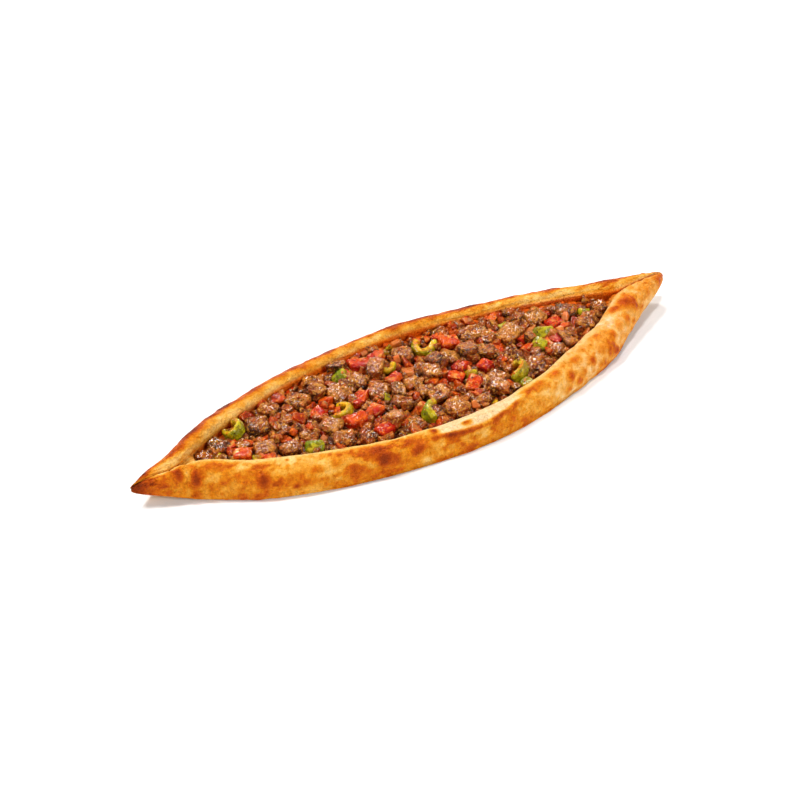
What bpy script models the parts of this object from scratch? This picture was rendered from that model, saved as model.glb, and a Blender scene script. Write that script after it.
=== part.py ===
"""Diced meat pide: a boat of baked dough, open on top, filled with diced meat, tomato and pepper.

Units are metres. +X runs along the boat to its blunt tip, +Y to its back rim, +Z up. The flat
underside lies on z = 0 and the origin is under the middle of the boat's bounding box.
"""
import math
import random

import bmesh
import bpy
from mathutils import Matrix, Vector, geometry

MM = 0.001

# Dough boat, seen from above. Its long axis position is u, from -1 (pointed tip) to +1 (blunt tip).
LENGTH = 0.420
HALF_WIDTH = 0.065
PLAN_POWER = 2.0            # 2 is a parabola from tip to tip
FRONT_SKEW = 0.004          # the front side is fullest towards +X
BACK_SKEW = -0.006          # the back side is fullest towards -X
BEND = 0.007                # how far the middle bows to the front
TIP_HALF_WIDTH = (0.003, 0.004)
TIP_POWER = (10, 14)
PINCH = (0.0035, 0.0040)    # how far each side is pinched in before a tip
PINCH_START = 0.66

# The rolled rim. A triple holds the value near the left tip, at the middle and near the right tip.
FRONT_RIM_WIDTH = (0.0225, 0.018, 0.0235)
BACK_RIM_WIDTH = (0.018, 0.0155, 0.0185)
RIM_HEIGHT = (0.0205, 0.0185, 0.0185)
TIP_HEIGHT = (0.0125, 0.014)
TIP_LIFT = (0.0075, 0.0085)  # how far each tip curls up off the table
LIFT_START = (0.77, 0.55)   # where it leaves the table
LIFT_SPAN = (0.20, 0.45)
TOP_RISE_START = 0.55       # where the top of the rim starts to rise towards a tip
FLOOR = 0.0045              # thickness of the dough under the filling
CREASE = 0.0012             # half-width of the seam where the two rims meet towards a tip
CREASE_DEPTH = 0.0015
OPENING_RAMP = 0.0045       # distance over which the floor rises where the rims close

# Half of the rim's section from its foot to its inner lip: inward distance over the rim's width,
# and height over the rim's height. The wall leans in, rolls over the top and ends in a lip.
RIM_SECTION = (
    (0.10, 0.00), (0.02, 0.08), (0.00, 0.22), (0.03, 0.42), (0.12, 0.66), (0.27, 0.85),
    (0.48, 0.97), (0.68, 1.00), (0.86, 0.95), (0.97, 0.85), (1.00, 0.74),
)
# The front rim is folded over flat along one stretch: a ridge, then a straight slope to the lip.
FOLD_MIDDLE = 0.07
FOLD_HALF_LENGTH = 0.19
FOLD_RIDGE = 0.48
# Below the lip: undercut over the rim's width, and height over the lip's height above the floor.
INNER_SECTION = ((0.05, 0.62), (0.06, 0.25), (-0.02, 0.0))
FLAT_STEPS = 4              # spans across the underside and across the floor
STATIONS = 46

# Filling
GAP = 0.0003                # clearance between solids that touch
BED_BASE = 0.0060           # height of the layer that the diced pieces stand on
BED_TOP = 0.0112            # usual height of the loose filling between the pieces
BED_SPANS = 9
WALL_GAP = 0.0006
MIN_BED_HALF_WIDTH = 0.002
POCKET_MARGIN = 0.0006
POCKET_HEIGHT = 0.030
PIECE_GAP = 0.0004
FLOOR_CLEARANCE = 0.0015    # least height of a piece over the dough floor, filled by loose filling
SETTLE_STEPS = 120

# Diced meat: x, y and size across, in mm.
MEAT = (
    (-142, 8, 14), (-112, 12, 16), (-97, 22, 13), (-118, -11, 14), (-104, -20, 13), (-87, -13, 15),
    (-90, 6, 12), (-76, 20, 16), (-71, -14, 15), (-70, -29, 15), (-57, 32, 14), (-56, -35, 13),
    (-49, 12, 16), (-31, 17, 15), (-25, 1, 15), (-2, -5, 13), (-18, -18, 15), (1, -18, 14),
    (-24, -41, 15), (9, -41, 16), (9, 24, 16), (35, 5, 14), (27, -43, 14), (61, 20, 18),
    (52, -31, 16), (73, -15, 15), (79, -32, 17), (82, 5, 18), (108, 11, 17), (100, -27, 13),
    (132, 3, 15), (133, -14, 13), (148, -4, 11),
)
# Tomato: x, y, length and width in mm, then how far it is turned in degrees.
TOMATO = (
    (-133, -7, 13, 10, -32), (-70, 3, 13, 11, 30), (-54, -18, 15, 9, 10), (-38, -16, 11, 10, 20),
    (-43, -36, 13, 10, 15), (-22, 30, 15, 11, -20), (-7, 32, 13, 8, 10), (-10, 5, 13, 9, 25),
    (35, -8, 11, 10, 30), (33, -28, 14, 10, 40), (43, 19, 14, 12, -15), (50, -17, 10, 10, 20),
    (117, -1, 13, 11, 10),
)
# Green pepper, slices cut across the pod: x, y, outer radius, wall and height of the slice in mm,
# then where the arc starts and how far it runs, how far the slice leans and which way, in degrees.
PEPPER = (
    (-125, 12, 7, 3.8, 8.5, 130, 300, 30, 150), (-92, -29, 6.5, 4.6, 8, 165, 140, 50, 60),
    (-43, 27, 7, 5, 10, 95, 115, 35, -30), (-56, -6, 7.5, 3.8, 6.5, 190, 260, 22, 150),
    (-7, 19, 7.5, 4, 6.5, 160, 170, 28, 240), (-11, -37, 9, 5, 8, 55, 200, 32, -30),
    (26, 24, 8.6, 5, 6.5, 112, 250, 12, 240), (64, -31, 8.5, 4.2, 7.5, -140, 230, 32, 150),
    (101, -10, 10, 4.6, 7.5, 195, 90, 45, 60), (90, -19, 7, 5, 9, 160, 95, 40, 20),
    (141, -2, 5, 4, 5.5, 175, 125, 30, 60), (35, -18, 5, 4, 6, 170, 125, 35, 60),
)
PEPPER_SEAT = 0.0085
ARC_STEP = 30               # degrees of pepper wall for each facet


def ease(t):
    """Smooth step from 0 to 1."""
    t = min(max(t, 0.0), 1.0)
    return t * t * (3 - 2 * t)


def by_end(pair, u):
    """The left or right value of a pair."""
    return pair[0] if u < 0 else pair[1]


def along(triple, u):
    """A value that goes from the triple's left to its middle and right one."""
    end = triple[0] if u < 0 else triple[2]
    return triple[1] + (end - triple[1]) * ease((abs(u) - 0.15) / 0.5)


def middle_y(u):
    return -BEND * (1 - u * u)


def outer_half_width(u, back):
    """Distance from the middle line to the outside of the front or back rim."""
    a = abs(u)
    tip = by_end(TIP_HALF_WIDTH, u)
    width = (HALF_WIDTH - tip) * (1 - a ** PLAN_POWER)
    width += tip * math.sqrt(max(1 - a ** by_end(TIP_POWER, u), 0))
    if a > PINCH_START:
        width -= by_end(PINCH, u) * math.sin(math.pi * (a - PINCH_START) / (1 - PINCH_START))
    skew = BACK_SKEW if back else FRONT_SKEW
    wave = 0.0007 * math.sin(9.0 * u + (1.3 if back else 0.2)) * (1 - a)
    return width + skew * u * (1 - u * u) + wave


def inner_half_width(u, back):
    """Distance from the middle line to the lip; near the tips only the seam is left."""
    outer = outer_half_width(u, back)
    space = outer - along(BACK_RIM_WIDTH if back else FRONT_RIM_WIDTH, u)
    opening = 0.5 * (space + math.sqrt(space * space + 4 * CREASE * CREASE))
    return min(max(opening, 0.0004), 0.3 * outer) if space < 0 else opening


def rim_point(u, t, z, back):
    """A point of the rim's section, with the front rim's folded stretch."""
    if back or t < FOLD_RIDGE:
        return t, z
    folded = ease(2 * (1 - abs(u - FOLD_MIDDLE) / FOLD_HALF_LENGTH))
    slope = 1 + (RIM_SECTION[-1][1] - 1) * (t - FOLD_RIDGE) / (1 - FOLD_RIDGE)
    return t, z + (slope - z) * folded


def rim_height(u):
    body = along(RIM_HEIGHT, u)
    body += 0.0005 * math.sin(14.0 * u + 0.6)
    rise = by_end(TIP_LIFT, u) * ease((abs(u) - TOP_RISE_START) / (1 - TOP_RISE_START))
    body += (by_end(TIP_HEIGHT, u) - body) * ease((abs(u) - 0.72) / 0.28)
    return body + rise - lift(u)


def lift(u):
    return by_end(TIP_LIFT, u) * ease((abs(u) - by_end(LIFT_START, u)) / by_end(LIFT_SPAN, u))


def tip_roundness(u):
    """1 along the boat, falling to 0 at the very tips so that they close in a dome."""
    return math.sqrt(max(1 - abs(u) ** 24, 0))


def floor_height(u):
    """Top of the dough under the filling; it climbs to the seam where the rims close."""
    space = min(inner_half_width(u, False), inner_half_width(u, True)) - CREASE
    seam = 0.74 * rim_height(u) - CREASE_DEPTH
    return lift(u) + seam + (FLOOR - seam) * ease(space / OPENING_RAMP)


def crust_section(u):
    """The closed section of the dough at u, as (y, z), from the front foot round to the back."""
    outlines = []
    height = rim_height(u)
    base = lift(u)
    round_off = tip_roundness(u)
    floor = floor_height(u)
    for back in (False, True):
        outer = outer_half_width(u, back)
        inner = inner_half_width(u, back)
        side = 1 if back else -1
        shape = [rim_point(u, t, z, back) for t, z in RIM_SECTION]
        rim = [(outer - (outer - inner) * t, base + height * z) for t, z in shape]
        lip = rim[-1][1]
        openness = ease((inner - CREASE) / OPENING_RAMP)
        for undercut, z in INNER_SECTION:
            rim.append((inner + undercut * (outer - inner) * openness, floor + (lip - floor) * z))
        outlines.append([(middle_y(u) + side * y, z) for y, z in rim])
    front, rear = outlines
    steps = [step / FLAT_STEPS for step in range(1, FLAT_STEPS)]
    inside = [lerp2(front[-1], rear[-1], t) for t in steps]
    underside = [lerp2(rear[0], front[0], t) for t in steps]
    section = front + inside + rear[::-1] + underside
    centre = base + 0.45 * height
    return [(y, centre + (z - centre) * round_off) for y, z in section]


def lerp2(first, second, t):
    return tuple(a + (b - a) * t for a, b in zip(first, second))


def station(index, count=STATIONS):
    """Position u of a section; sections stand closer together towards the tips."""
    t = -1 + 2 * index / count
    return 0.65 * t + 0.35 * math.sin(t * math.pi / 2)


def finish_mesh(name, bm, material, smooth_angle=None):
    """Turn a bmesh into a named object whose faces point out."""
    bmesh.ops.recalc_face_normals(bm, faces=bm.faces)
    mesh = bpy.data.meshes.new(name)
    bm.to_mesh(mesh)
    bm.free()
    if smooth_angle is not None:
        mesh.shade_smooth()
        mesh.set_sharp_from_angle(angle=math.radians(smooth_angle))
    mesh.materials.append(material)
    piece = bpy.data.objects.new(name, mesh)
    bpy.context.collection.objects.link(piece)
    return piece


def loft(rings, start=None, end=None):
    """A closed skin over rings of points; each end is capped by a fan to a point or by a face."""
    bm = bmesh.new()
    loops = [[bm.verts.new(point) for point in ring] for ring in rings]
    for one, two in zip(loops, loops[1:]):
        for i in range(len(one)):
            j = (i + 1) % len(one)
            bm.faces.new((one[i], one[j], two[j], two[i]))
    for loop, pole in ((loops[0], start), (loops[-1], end)):
        if pole is None:
            bm.faces.new(loop)
            continue
        tip = bm.verts.new(pole)
        for i in range(len(loop)):
            bm.faces.new((loop[i], loop[(i + 1) % len(loop)], tip))
    return bm


def make_crust(material):
    rings = []
    for index in range(1, STATIONS):
        u = station(index)
        rings.append([(u * LENGTH / 2, y, z) for y, z in crust_section(u)])
    poles = [(u * LENGTH / 2, 0.0, lift(u) + 0.45 * rim_height(u)) for u in (-1.0, 1.0)]
    bm = loft(rings, *poles)
    bmesh.ops.triangulate(bm, faces=bm.faces)
    return finish_mesh("crust", bm, material, 50)


def bed_half_width(u, back):
    return inner_half_width(u, back) - WALL_GAP


def bed_top(x, y):
    """Uneven top of the loose filling."""
    waves = math.sin(190 * x + 60 * y) + math.sin(230 * y - 140 * x + 1) + math.sin(310 * x + 2)
    return BED_TOP + 0.0006 * waves


def bed_ring(u):
    """Section of the loose filling: along its uneven top, then back along the floor."""
    front = middle_y(u) - bed_half_width(u, False)
    back = middle_y(u) + bed_half_width(u, True)
    low = floor_height(u) + GAP
    x = u * LENGTH / 2
    across = [front + (back - front) * i / BED_SPANS for i in range(BED_SPANS + 1)]
    top = [(x, y, max(bed_top(x, y), low + 0.001)) for y in across]
    bottom = [(x, y, low) for y in (back, 0.5 * (front + back), front)]
    return top + bottom


def pocket_cutter(piece):
    """An upright box round a piece, which makes room for it in the loose filling."""
    xs, ys, zs = zip(*(v.co for v in piece.data.vertices))
    low_x, high_x = min(xs) - POCKET_MARGIN, max(xs) + POCKET_MARGIN
    low_y, high_y = min(ys) - POCKET_MARGIN, max(ys) + POCKET_MARGIN
    corners = ((low_x, low_y), (high_x, low_y), (high_x, high_y), (low_x, high_y))
    low = min(zs) - GAP
    return loft([[piece.matrix_world @ Vector((x, y, z)) for x, y in corners]
                 for z in (low, low + POCKET_HEIGHT)])


def make_bed(material, pieces):
    """The loose small filling: one solid with a pocket under each separate piece."""
    rings = []
    for index in range(1, STATIONS):
        u = station(index)
        if min(bed_half_width(u, False), bed_half_width(u, True)) > MIN_BED_HALF_WIDTH:
            rings.append(bed_ring(u))
    bm = loft(rings)
    bed = finish_mesh("filling_bed", bm, material)
    cutters = bmesh.new()
    for piece in pieces:
        cutter = pocket_cutter(piece)
        bmesh.ops.recalc_face_normals(cutter, faces=cutter.faces)
        shape = bpy.data.meshes.new("pocket")
        cutter.to_mesh(shape)
        cutter.free()
        cutters.from_mesh(shape)
        bpy.data.meshes.remove(shape)
    guide = finish_mesh("pockets", cutters, material)
    guide.hide_render = True
    guide.display_type = "WIRE"
    cut = bed.modifiers.new("pockets", "BOOLEAN")
    cut.operation = "DIFFERENCE"
    cut.solver = "EXACT"
    cut.use_self = True
    cut.object = guide


def hull_mesh(points):
    bm = bmesh.new()
    for point in points:
        bm.verts.new(point)
    hull = bmesh.ops.convex_hull(bm, input=bm.verts)
    spare = [v for v in hull["geom_interior"] if isinstance(v, bmesh.types.BMVert)]
    bmesh.ops.delete(bm, geom=spare, context="VERTS")
    return bm


def diced_points(length, width, height, bevel, unevenness, dice):
    """Points of a knife-cut cube with worn edges and slightly crowned faces."""
    half = (length / 2, width / 2, height / 2)
    points = []
    for signs in ((a, b, c) for a in (-1, 1) for b in (-1, 1) for c in (-1, 1)):
        corner = [s * h * (1 - unevenness * dice.random()) for s, h in zip(signs, half)]
        for axis in range(3):
            worn = [v - s * bevel * (i != axis) for i, (v, s) in enumerate(zip(corner, signs))]
            worn[axis] = corner[axis]
            points.append(Vector(worn))
    for axis in range(3):
        for sign in (-1, 1):
            crown = Vector((0, 0, 0))
            crown[axis] = sign * half[axis]
            points.append(crown)
    return points


def make_dice(name, x, y, size, turn, tilt, seat, wear, material, dice):
    """One knife-cut cube, lying at a slight tilt with its lowest point at the height seat."""
    bevel, unevenness = wear
    points = diced_points(*size, bevel, unevenness, dice)
    lean = Matrix.Rotation(tilt, 3, Vector((math.cos(3 * turn), math.sin(3 * turn), 0)))
    points = [lean @ p for p in points]
    low = min(p.z for p in points)
    bm = hull_mesh([p - Vector((0, 0, low)) for p in points])
    piece = finish_mesh(name, bm, material)
    piece.location = (x * MM, y * MM, seat)
    piece.rotation_euler = (0, 0, turn)
    return piece


def make_pepper(name, x, y, radius, wall, height, start, sweep, lean, heading, material):
    """An arc of pepper wall: flat cut faces, a rounded outside and a concave inside."""
    section = ((0.0, 0.12), (0.12, 0.0), (0.8, 0.0), (1.0, 0.25), (1.0, 0.75), (0.8, 1.0),
               (0.12, 1.0), (0.0, 0.88))
    count = max(3, round(sweep / ARC_STEP))
    rings = []
    for index in range(count + 1):
        angle = math.radians(start + sweep * index / count)
        outer = radius * MM * (1 + 0.10 * math.sin(2 * angle + x))
        ring = []
        for t, z in section:
            r = outer - wall * MM * (1 - t)
            ring.append(Vector((r * math.cos(angle), r * math.sin(angle), z * height * MM)))
        rings.append(ring)
    everything = [p for ring in rings for p in ring]
    centre_x = 0.5 * (min(p.x for p in everything) + max(p.x for p in everything))
    centre_y = 0.5 * (min(p.y for p in everything) + max(p.y for p in everything))
    way = math.radians(heading)
    tip_over = Matrix.Rotation(math.radians(lean), 3, Vector((-math.sin(way), math.cos(way), 0)))
    rings = [[tip_over @ (p - Vector((centre_x, centre_y, 0))) for p in ring] for ring in rings]
    low = min(p.z for ring in rings for p in ring)
    rings = [[p - Vector((0, 0, low)) for p in ring] for ring in rings]
    piece = finish_mesh(name, loft(rings), material, 40)
    piece.location = (x * MM, y * MM, PEPPER_SEAT)
    return piece


def outline_of(piece):
    """Convex outline of a piece seen from above."""
    turn = piece.rotation_euler.to_matrix()
    flat = [(turn @ v.co + piece.location).to_2d() for v in piece.data.vertices]
    return [flat[i] for i in geometry.convex_hull_2d(flat)]


def push_apart(one, two):
    """Shortest move of the second outline that leaves a gap to the first, or None."""
    best = None
    for outline in (one, two):
        for a, b in zip(outline, outline[1:] + outline[:1]):
            edge = b - a
            if edge.length < 1e-7:
                continue
            normal = Vector((edge.y, -edge.x)).normalized()
            first = [p.dot(normal) for p in one]
            second = [p.dot(normal) for p in two]
            for depth, way in ((max(first) - min(second), 1), (max(second) - min(first), -1)):
                depth += PIECE_GAP
                if depth <= 0:
                    return None
                if best is None or depth < best[0]:
                    best = (depth, normal * way)
    return best[1] * best[0]


def keep_inside(outline):
    """Move that brings an outline back between the lips, or None if it already fits."""
    from_front = 0.0
    from_back = 0.0
    for point in outline:
        u = point.x * 2 / LENGTH
        front = middle_y(u) - inner_half_width(u, False) + WALL_GAP
        back = middle_y(u) + inner_half_width(u, True) - WALL_GAP
        from_front = max(from_front, front - point.y)
        from_back = max(from_back, point.y - back)
    if from_front == 0 and from_back == 0:
        return None
    too_wide = from_front > 0 and from_back > 0
    to_middle = -math.copysign(0.0005, outline[0].x) if too_wide else 0.0
    return Vector((to_middle, from_front - from_back))


def settle(pieces):
    """Nudge the pieces until none touches its neighbour or the rim."""
    outlines = [outline_of(piece) for piece in pieces]
    moves = [Vector((0, 0)) for piece in pieces]

    def shift(index, by):
        moves[index] += by
        outlines[index] = [p + by for p in outlines[index]]

    for step in range(SETTLE_STEPS):
        calm = True
        for i in range(len(pieces)):
            for j in range(i + 1, len(pieces)):
                if (outlines[i][0] - outlines[j][0]).length > 0.04:
                    continue
                push = push_apart(outlines[i], outlines[j])
                if push is not None:
                    shift(i, push * -0.5)
                    shift(j, push * 0.5)
                    calm = False
        for i in range(len(pieces)):
            inward = keep_inside(outlines[i])
            if inward is not None:
                shift(i, inward)
                calm = False
        if calm:
            break
    for piece, move, outline in zip(pieces, moves, outlines):
        ground = max(floor_height(p.x * 2 / LENGTH) for p in outline) + FLOOR_CLEARANCE
        seat = max(piece.location.z, ground)
        piece.location = (piece.location.x + move.x, piece.location.y + move.y, seat)


def make_pieces(materials):
    """All the separate pieces of the filling, settled side by side."""
    dice = random.Random(7)
    pieces = []
    for number, (x, y, size) in enumerate(MEAT, 1):
        length = size * MM * dice.uniform(0.94, 1.04)
        width = size * MM * dice.uniform(0.76, 0.92)
        height = dice.uniform(0.0085, 0.0108)
        turn = math.radians(dice.uniform(-70, 20))
        tilt = math.radians(dice.uniform(-9, 9))
        pieces.append(make_dice(f"meat_{number:02d}", x, y, (length, width, height), turn, tilt,
                                BED_BASE + GAP, (0.0016, 0.16), materials["meat"], dice))
    for number, (x, y, length, width, turn) in enumerate(TOMATO, 1):
        size = (length * MM, width * MM, dice.uniform(0.0065, 0.0085))
        tilt = math.radians(dice.uniform(-12, 12))
        pieces.append(make_dice(f"tomato_{number:02d}", x, y, size, math.radians(turn), tilt,
                                BED_BASE + 0.0015, (0.0012, 0.10), materials["tomato"], dice))
    for number, row in enumerate(PEPPER, 1):
        pieces.append(make_pepper(f"pepper_{number:02d}", *row, materials["pepper"]))
    settle(pieces)
    return pieces


def make_material(name, colour, roughness):
    material = bpy.data.materials.new(name)
    material.use_nodes = True
    shader = material.node_tree.nodes["Principled BSDF"]
    shader.inputs["Base Color"].default_value = (*colour, 1)
    shader.inputs["Roughness"].default_value = roughness
    shader.inputs["Metallic"].default_value = 0.0
    material.diffuse_color = (*colour, 1)
    return material


def centre_on_origin(objects, crust):
    """Put the middle of the boat's bounding box over the origin and its underside on z = 0."""
    xs, ys, zs = zip(*(v.co for v in crust.data.vertices))
    offset = Vector(((min(xs) + max(xs)) / 2, (min(ys) + max(ys)) / 2, min(zs)))
    for piece in objects:
        piece.location -= offset


def main():
    for old in list(bpy.data.objects):
        bpy.data.objects.remove(old)
    materials = {
        "crust": make_material("crust", (0.68, 0.27, 0.05), 0.55),
        "sauce": make_material("sauce", (0.38, 0.08, 0.02), 0.35),
        "meat": make_material("meat", (0.20, 0.085, 0.045), 0.45),
        "tomato": make_material("tomato", (0.60, 0.05, 0.02), 0.3),
        "pepper": make_material("pepper", (0.20, 0.28, 0.02), 0.3),
    }
    crust = make_crust(materials["crust"])
    pieces = make_pieces(materials)
    bpy.context.view_layer.update()
    make_bed(materials["sauce"], pieces)
    centre_on_origin(bpy.data.objects, crust)
    bpy.context.view_layer.update()


main()
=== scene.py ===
"""Looks of the diced meat pide: blistered dough boat, oily filling of diced meat, tomato and pepper."""
import math
import random

import bpy
import numpy as np
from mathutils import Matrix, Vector
from mathutils.bvhtree import BVHTree


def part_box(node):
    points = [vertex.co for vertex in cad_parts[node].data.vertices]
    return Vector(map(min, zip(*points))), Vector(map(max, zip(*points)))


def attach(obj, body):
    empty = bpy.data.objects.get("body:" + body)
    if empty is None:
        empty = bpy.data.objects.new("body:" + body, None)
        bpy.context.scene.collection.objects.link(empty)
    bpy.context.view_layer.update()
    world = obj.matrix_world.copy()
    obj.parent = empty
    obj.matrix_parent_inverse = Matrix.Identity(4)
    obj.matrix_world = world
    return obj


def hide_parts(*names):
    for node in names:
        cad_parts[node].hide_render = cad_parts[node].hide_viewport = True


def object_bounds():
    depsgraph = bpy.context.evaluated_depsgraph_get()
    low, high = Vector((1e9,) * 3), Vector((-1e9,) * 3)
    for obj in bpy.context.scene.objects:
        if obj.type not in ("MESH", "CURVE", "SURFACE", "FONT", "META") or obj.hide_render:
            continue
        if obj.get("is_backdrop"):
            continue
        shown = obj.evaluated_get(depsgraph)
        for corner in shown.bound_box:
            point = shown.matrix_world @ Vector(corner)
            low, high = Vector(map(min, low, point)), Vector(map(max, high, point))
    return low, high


MM = 0.001

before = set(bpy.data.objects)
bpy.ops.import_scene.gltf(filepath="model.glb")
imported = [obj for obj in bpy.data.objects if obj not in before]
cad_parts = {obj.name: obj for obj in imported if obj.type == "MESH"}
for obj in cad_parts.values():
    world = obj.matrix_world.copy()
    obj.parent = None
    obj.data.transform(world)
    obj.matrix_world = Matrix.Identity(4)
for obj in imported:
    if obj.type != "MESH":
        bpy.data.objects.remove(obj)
CAD_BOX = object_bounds()
CRUST_LOW, CRUST_HIGH = (np.array(corner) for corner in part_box("crust"))

# ---- Noise on rows of points in metres ----


def hashed(cells, seed):
    """A repeatable number from 0 to 1 for each row of whole numbers."""
    c = cells.astype(np.int64)
    h = c[..., 0] * 374761393 + c[..., 1] * 668265263 + c[..., 2] * 974634777 + seed * 362437
    h &= 0xFFFFFFFF
    h = ((h ^ (h >> 13)) * 1274126177) & 0xFFFFFFFF
    h = ((h ^ (h >> 15)) * 2246822519) & 0xFFFFFFFF
    return ((h ^ (h >> 16)) & 0xFFFFFF) / float(0xFFFFFF)


def noise(cells, seed):
    """Smooth noise from -1 to 1; cells holds places measured in noise cells."""
    base = np.floor(cells)
    t = cells - base
    t = t * t * t * (t * (6 * t - 15) + 10)
    total = np.zeros(len(cells))
    for corner in np.ndindex(2, 2, 2):
        weight = np.prod(np.where(corner, t, 1 - t), axis=1)
        total += weight * hashed(base + corner, seed)
    return 2 * total - 1


def layers(points, size, seed, octaves=3, gain=0.5):
    """Octaves of noise, about -1 to 1; size is the coarsest cell, one value or one an axis."""
    total = np.zeros(len(points))
    weight, norm = 1.0, 0.0
    for octave in range(octaves):
        total += weight * noise(points / np.asarray(size) * 2 ** octave + 17.3 * octave, seed + octave)
        norm += weight
        weight *= gain
    return 1.6 * total / norm


def grains(points, size, seed):
    """Distance to the nearest and the second nearest grain, in cells, and the grain's own number."""
    p = points / size
    base = np.floor(p)
    first = np.full(len(p), 9.0)
    second = np.full(len(p), 9.0)
    name = np.zeros(len(p))
    for corner in np.ndindex(3, 3, 3):
        cell = base + corner - 1
        spot = cell + np.stack([hashed(cell, seed + k) for k in range(3)], axis=1)
        distance = np.linalg.norm(p - spot, axis=1)
        nearer = distance < first
        second = np.where(nearer, first, np.minimum(second, distance))
        name = np.where(nearer, hashed(cell, seed + 9), name)
        first = np.where(nearer, distance, first)
    return first, second, name


def ease(t):
    t = np.clip(t, 0, 1)
    return t * t * (3 - 2 * t)


def step(value, low, high):
    return ease((value - low) / (high - low))


def mix(a, b, t):
    """Blend two colours or arrays of colours by t."""
    t = np.asarray(t)[..., None]
    return np.asarray(a) * (1 - t) + np.asarray(b) * t


def rgb(red, green, blue):
    """Linear colour of display values from 0 to 255."""
    c = np.array([red, green, blue]) / 255
    return np.where(c <= 0.04045, c / 12.92, ((c + 0.055) / 1.055) ** 2.4)


# ---- Meshes ----


def link(name, data):
    """An object for some data, in the scene."""
    thing = bpy.data.objects.new(name, data)
    bpy.context.collection.objects.link(thing)
    return thing


def box_of(name):
    """Low and high corner of a CAD node."""
    return tuple(np.array(corner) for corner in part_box(name))


def fit_to_box(points, low, high):
    """Stretch and move points to fill a box."""
    size = points.max(axis=0) - points.min(axis=0)
    middle = (points.max(axis=0) + points.min(axis=0)) / 2
    return (points - middle) * (high - low) / size + (high + low) / 2


def make_piece(name, points, face_sets, material, uv, attributes, slot):
    """A smooth mesh object. Each face set has one number of corners; uv has one row a corner."""
    corners = np.concatenate([np.asarray(f).ravel() for f in face_sets]).astype(np.int32)
    sides = np.concatenate([np.full(len(f), f.shape[1]) for f in face_sets])
    starts = np.concatenate([[0], np.cumsum(sides)[:-1]]).astype(np.int32)
    mesh = bpy.data.meshes.new(name)
    mesh.vertices.add(len(points))
    mesh.vertices.foreach_set("co", np.asarray(points, np.float32).ravel())
    mesh.loops.add(len(corners))
    mesh.loops.foreach_set("vertex_index", corners)
    mesh.polygons.add(len(starts))
    mesh.polygons.foreach_set("loop_start", starts)
    mesh.update(calc_edges=True)
    for key, values in attributes.items():
        values = np.asarray(values, np.float32)
        if values.ndim == 2:
            rgba = np.ones((len(values), 4), np.float32)
            rgba[:, :3] = values
            mesh.attributes.new(key, "FLOAT_COLOR", "POINT").data.foreach_set("color", rgba.ravel())
        else:
            mesh.attributes.new(key, "FLOAT", "POINT").data.foreach_set("value", values)
    layer = mesh.uv_layers.new(name="OFBake")
    layer.data.foreach_set("uv", np.asarray(uv, np.float32).ravel())
    mesh.polygons.foreach_set("use_smooth", np.ones(len(starts), bool))
    mesh.materials.append(material)
    piece = link(name, mesh)
    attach(piece, "root")
    return piece


def vertex_normals(points, quads):
    normal = np.zeros_like(points)
    across = np.cross(points[quads[:, 2]] - points[quads[:, 0]],
                      points[quads[:, 3]] - points[quads[:, 1]])
    for corner in range(4):
        np.add.at(normal, quads[:, corner], across)
    return normal / np.maximum(np.linalg.norm(normal, axis=1, keepdims=True), 1e-15)


def cube_grid(cuts):
    """Directions of a cut-up cube pushed out to a ball, its quads, and a 3 x 2 layout."""
    line = np.tan(np.linspace(-1, 1, cuts + 1) * math.pi / 4)
    a, b = np.meshgrid(line, line, indexing="ij")
    one = np.ones_like(a)
    sheets, quads, uvs = [], [], []
    i, j = np.meshgrid(np.arange(cuts), np.arange(cuts), indexing="ij")
    ring = ((0, 0), (1, 0), (1, 1), (0, 1))
    for face, (axis, sign) in enumerate((x, s) for x in range(3) for s in (-1, 1)):
        sheet = np.stack([one * sign, a if sign > 0 else -a, b], axis=2)
        sheet = np.roll(sheet, axis, axis=2).reshape(-1, 3)
        sheets.append(sheet)
        quads.append(np.stack([(i + p) * (cuts + 1) + j + q for p, q in ring], axis=2).reshape(-1, 4)
                     + face * len(sheet))
        tile = np.array([face % 3, face // 3])
        spots = np.stack([np.stack([i + p, j + q], axis=2) for p, q in ring], axis=2).reshape(-1, 2)
        uvs.append((tile + 0.02 + 0.96 * spots / cuts) / (3, 2))
    points = np.concatenate(sheets)
    quads = np.concatenate(quads)
    _, first, where = np.unique(np.round(points * 1e5).astype(np.int64), axis=0,
                                return_index=True, return_inverse=True)
    directions = points[first]
    directions = directions / np.linalg.norm(directions, axis=1, keepdims=True)
    return directions, where.ravel()[quads], np.concatenate(uvs)


CUBES = {}


def cube(cuts):
    if cuts not in CUBES:
        CUBES[cuts] = cube_grid(cuts)
    return CUBES[cuts]


def rounded_block(normals, reach, half, cuts, sharpness):
    """A block with rounded edges between planes round the origin; reach is how far each lies."""
    directions, quads, uv = cube(cuts)
    directions = directions * half
    directions = directions / np.linalg.norm(directions, axis=1, keepdims=True)
    facing = np.maximum(directions @ normals.T, 0) / reach
    radius = np.sum(facing ** sharpness, axis=1) ** (-1 / sharpness)
    return directions * radius[:, None], quads, uv


def random_turn(dice, tilt=0.3):
    """A turn about Z after a small tilt, as a matrix."""
    a, b, c = dice.uniform(-math.pi, math.pi), dice.uniform(-tilt, tilt), dice.uniform(-tilt, tilt)
    z = np.array([[math.cos(a), -math.sin(a), 0], [math.sin(a), math.cos(a), 0], [0, 0, 1]])
    x = np.array([[1, 0, 0], [0, math.cos(b), -math.sin(b)], [0, math.sin(b), math.cos(b)]])
    y = np.array([[math.cos(c), 0, math.sin(c)], [0, 1, 0], [-math.sin(c), 0, math.cos(c)]])
    return z @ y @ x


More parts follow.
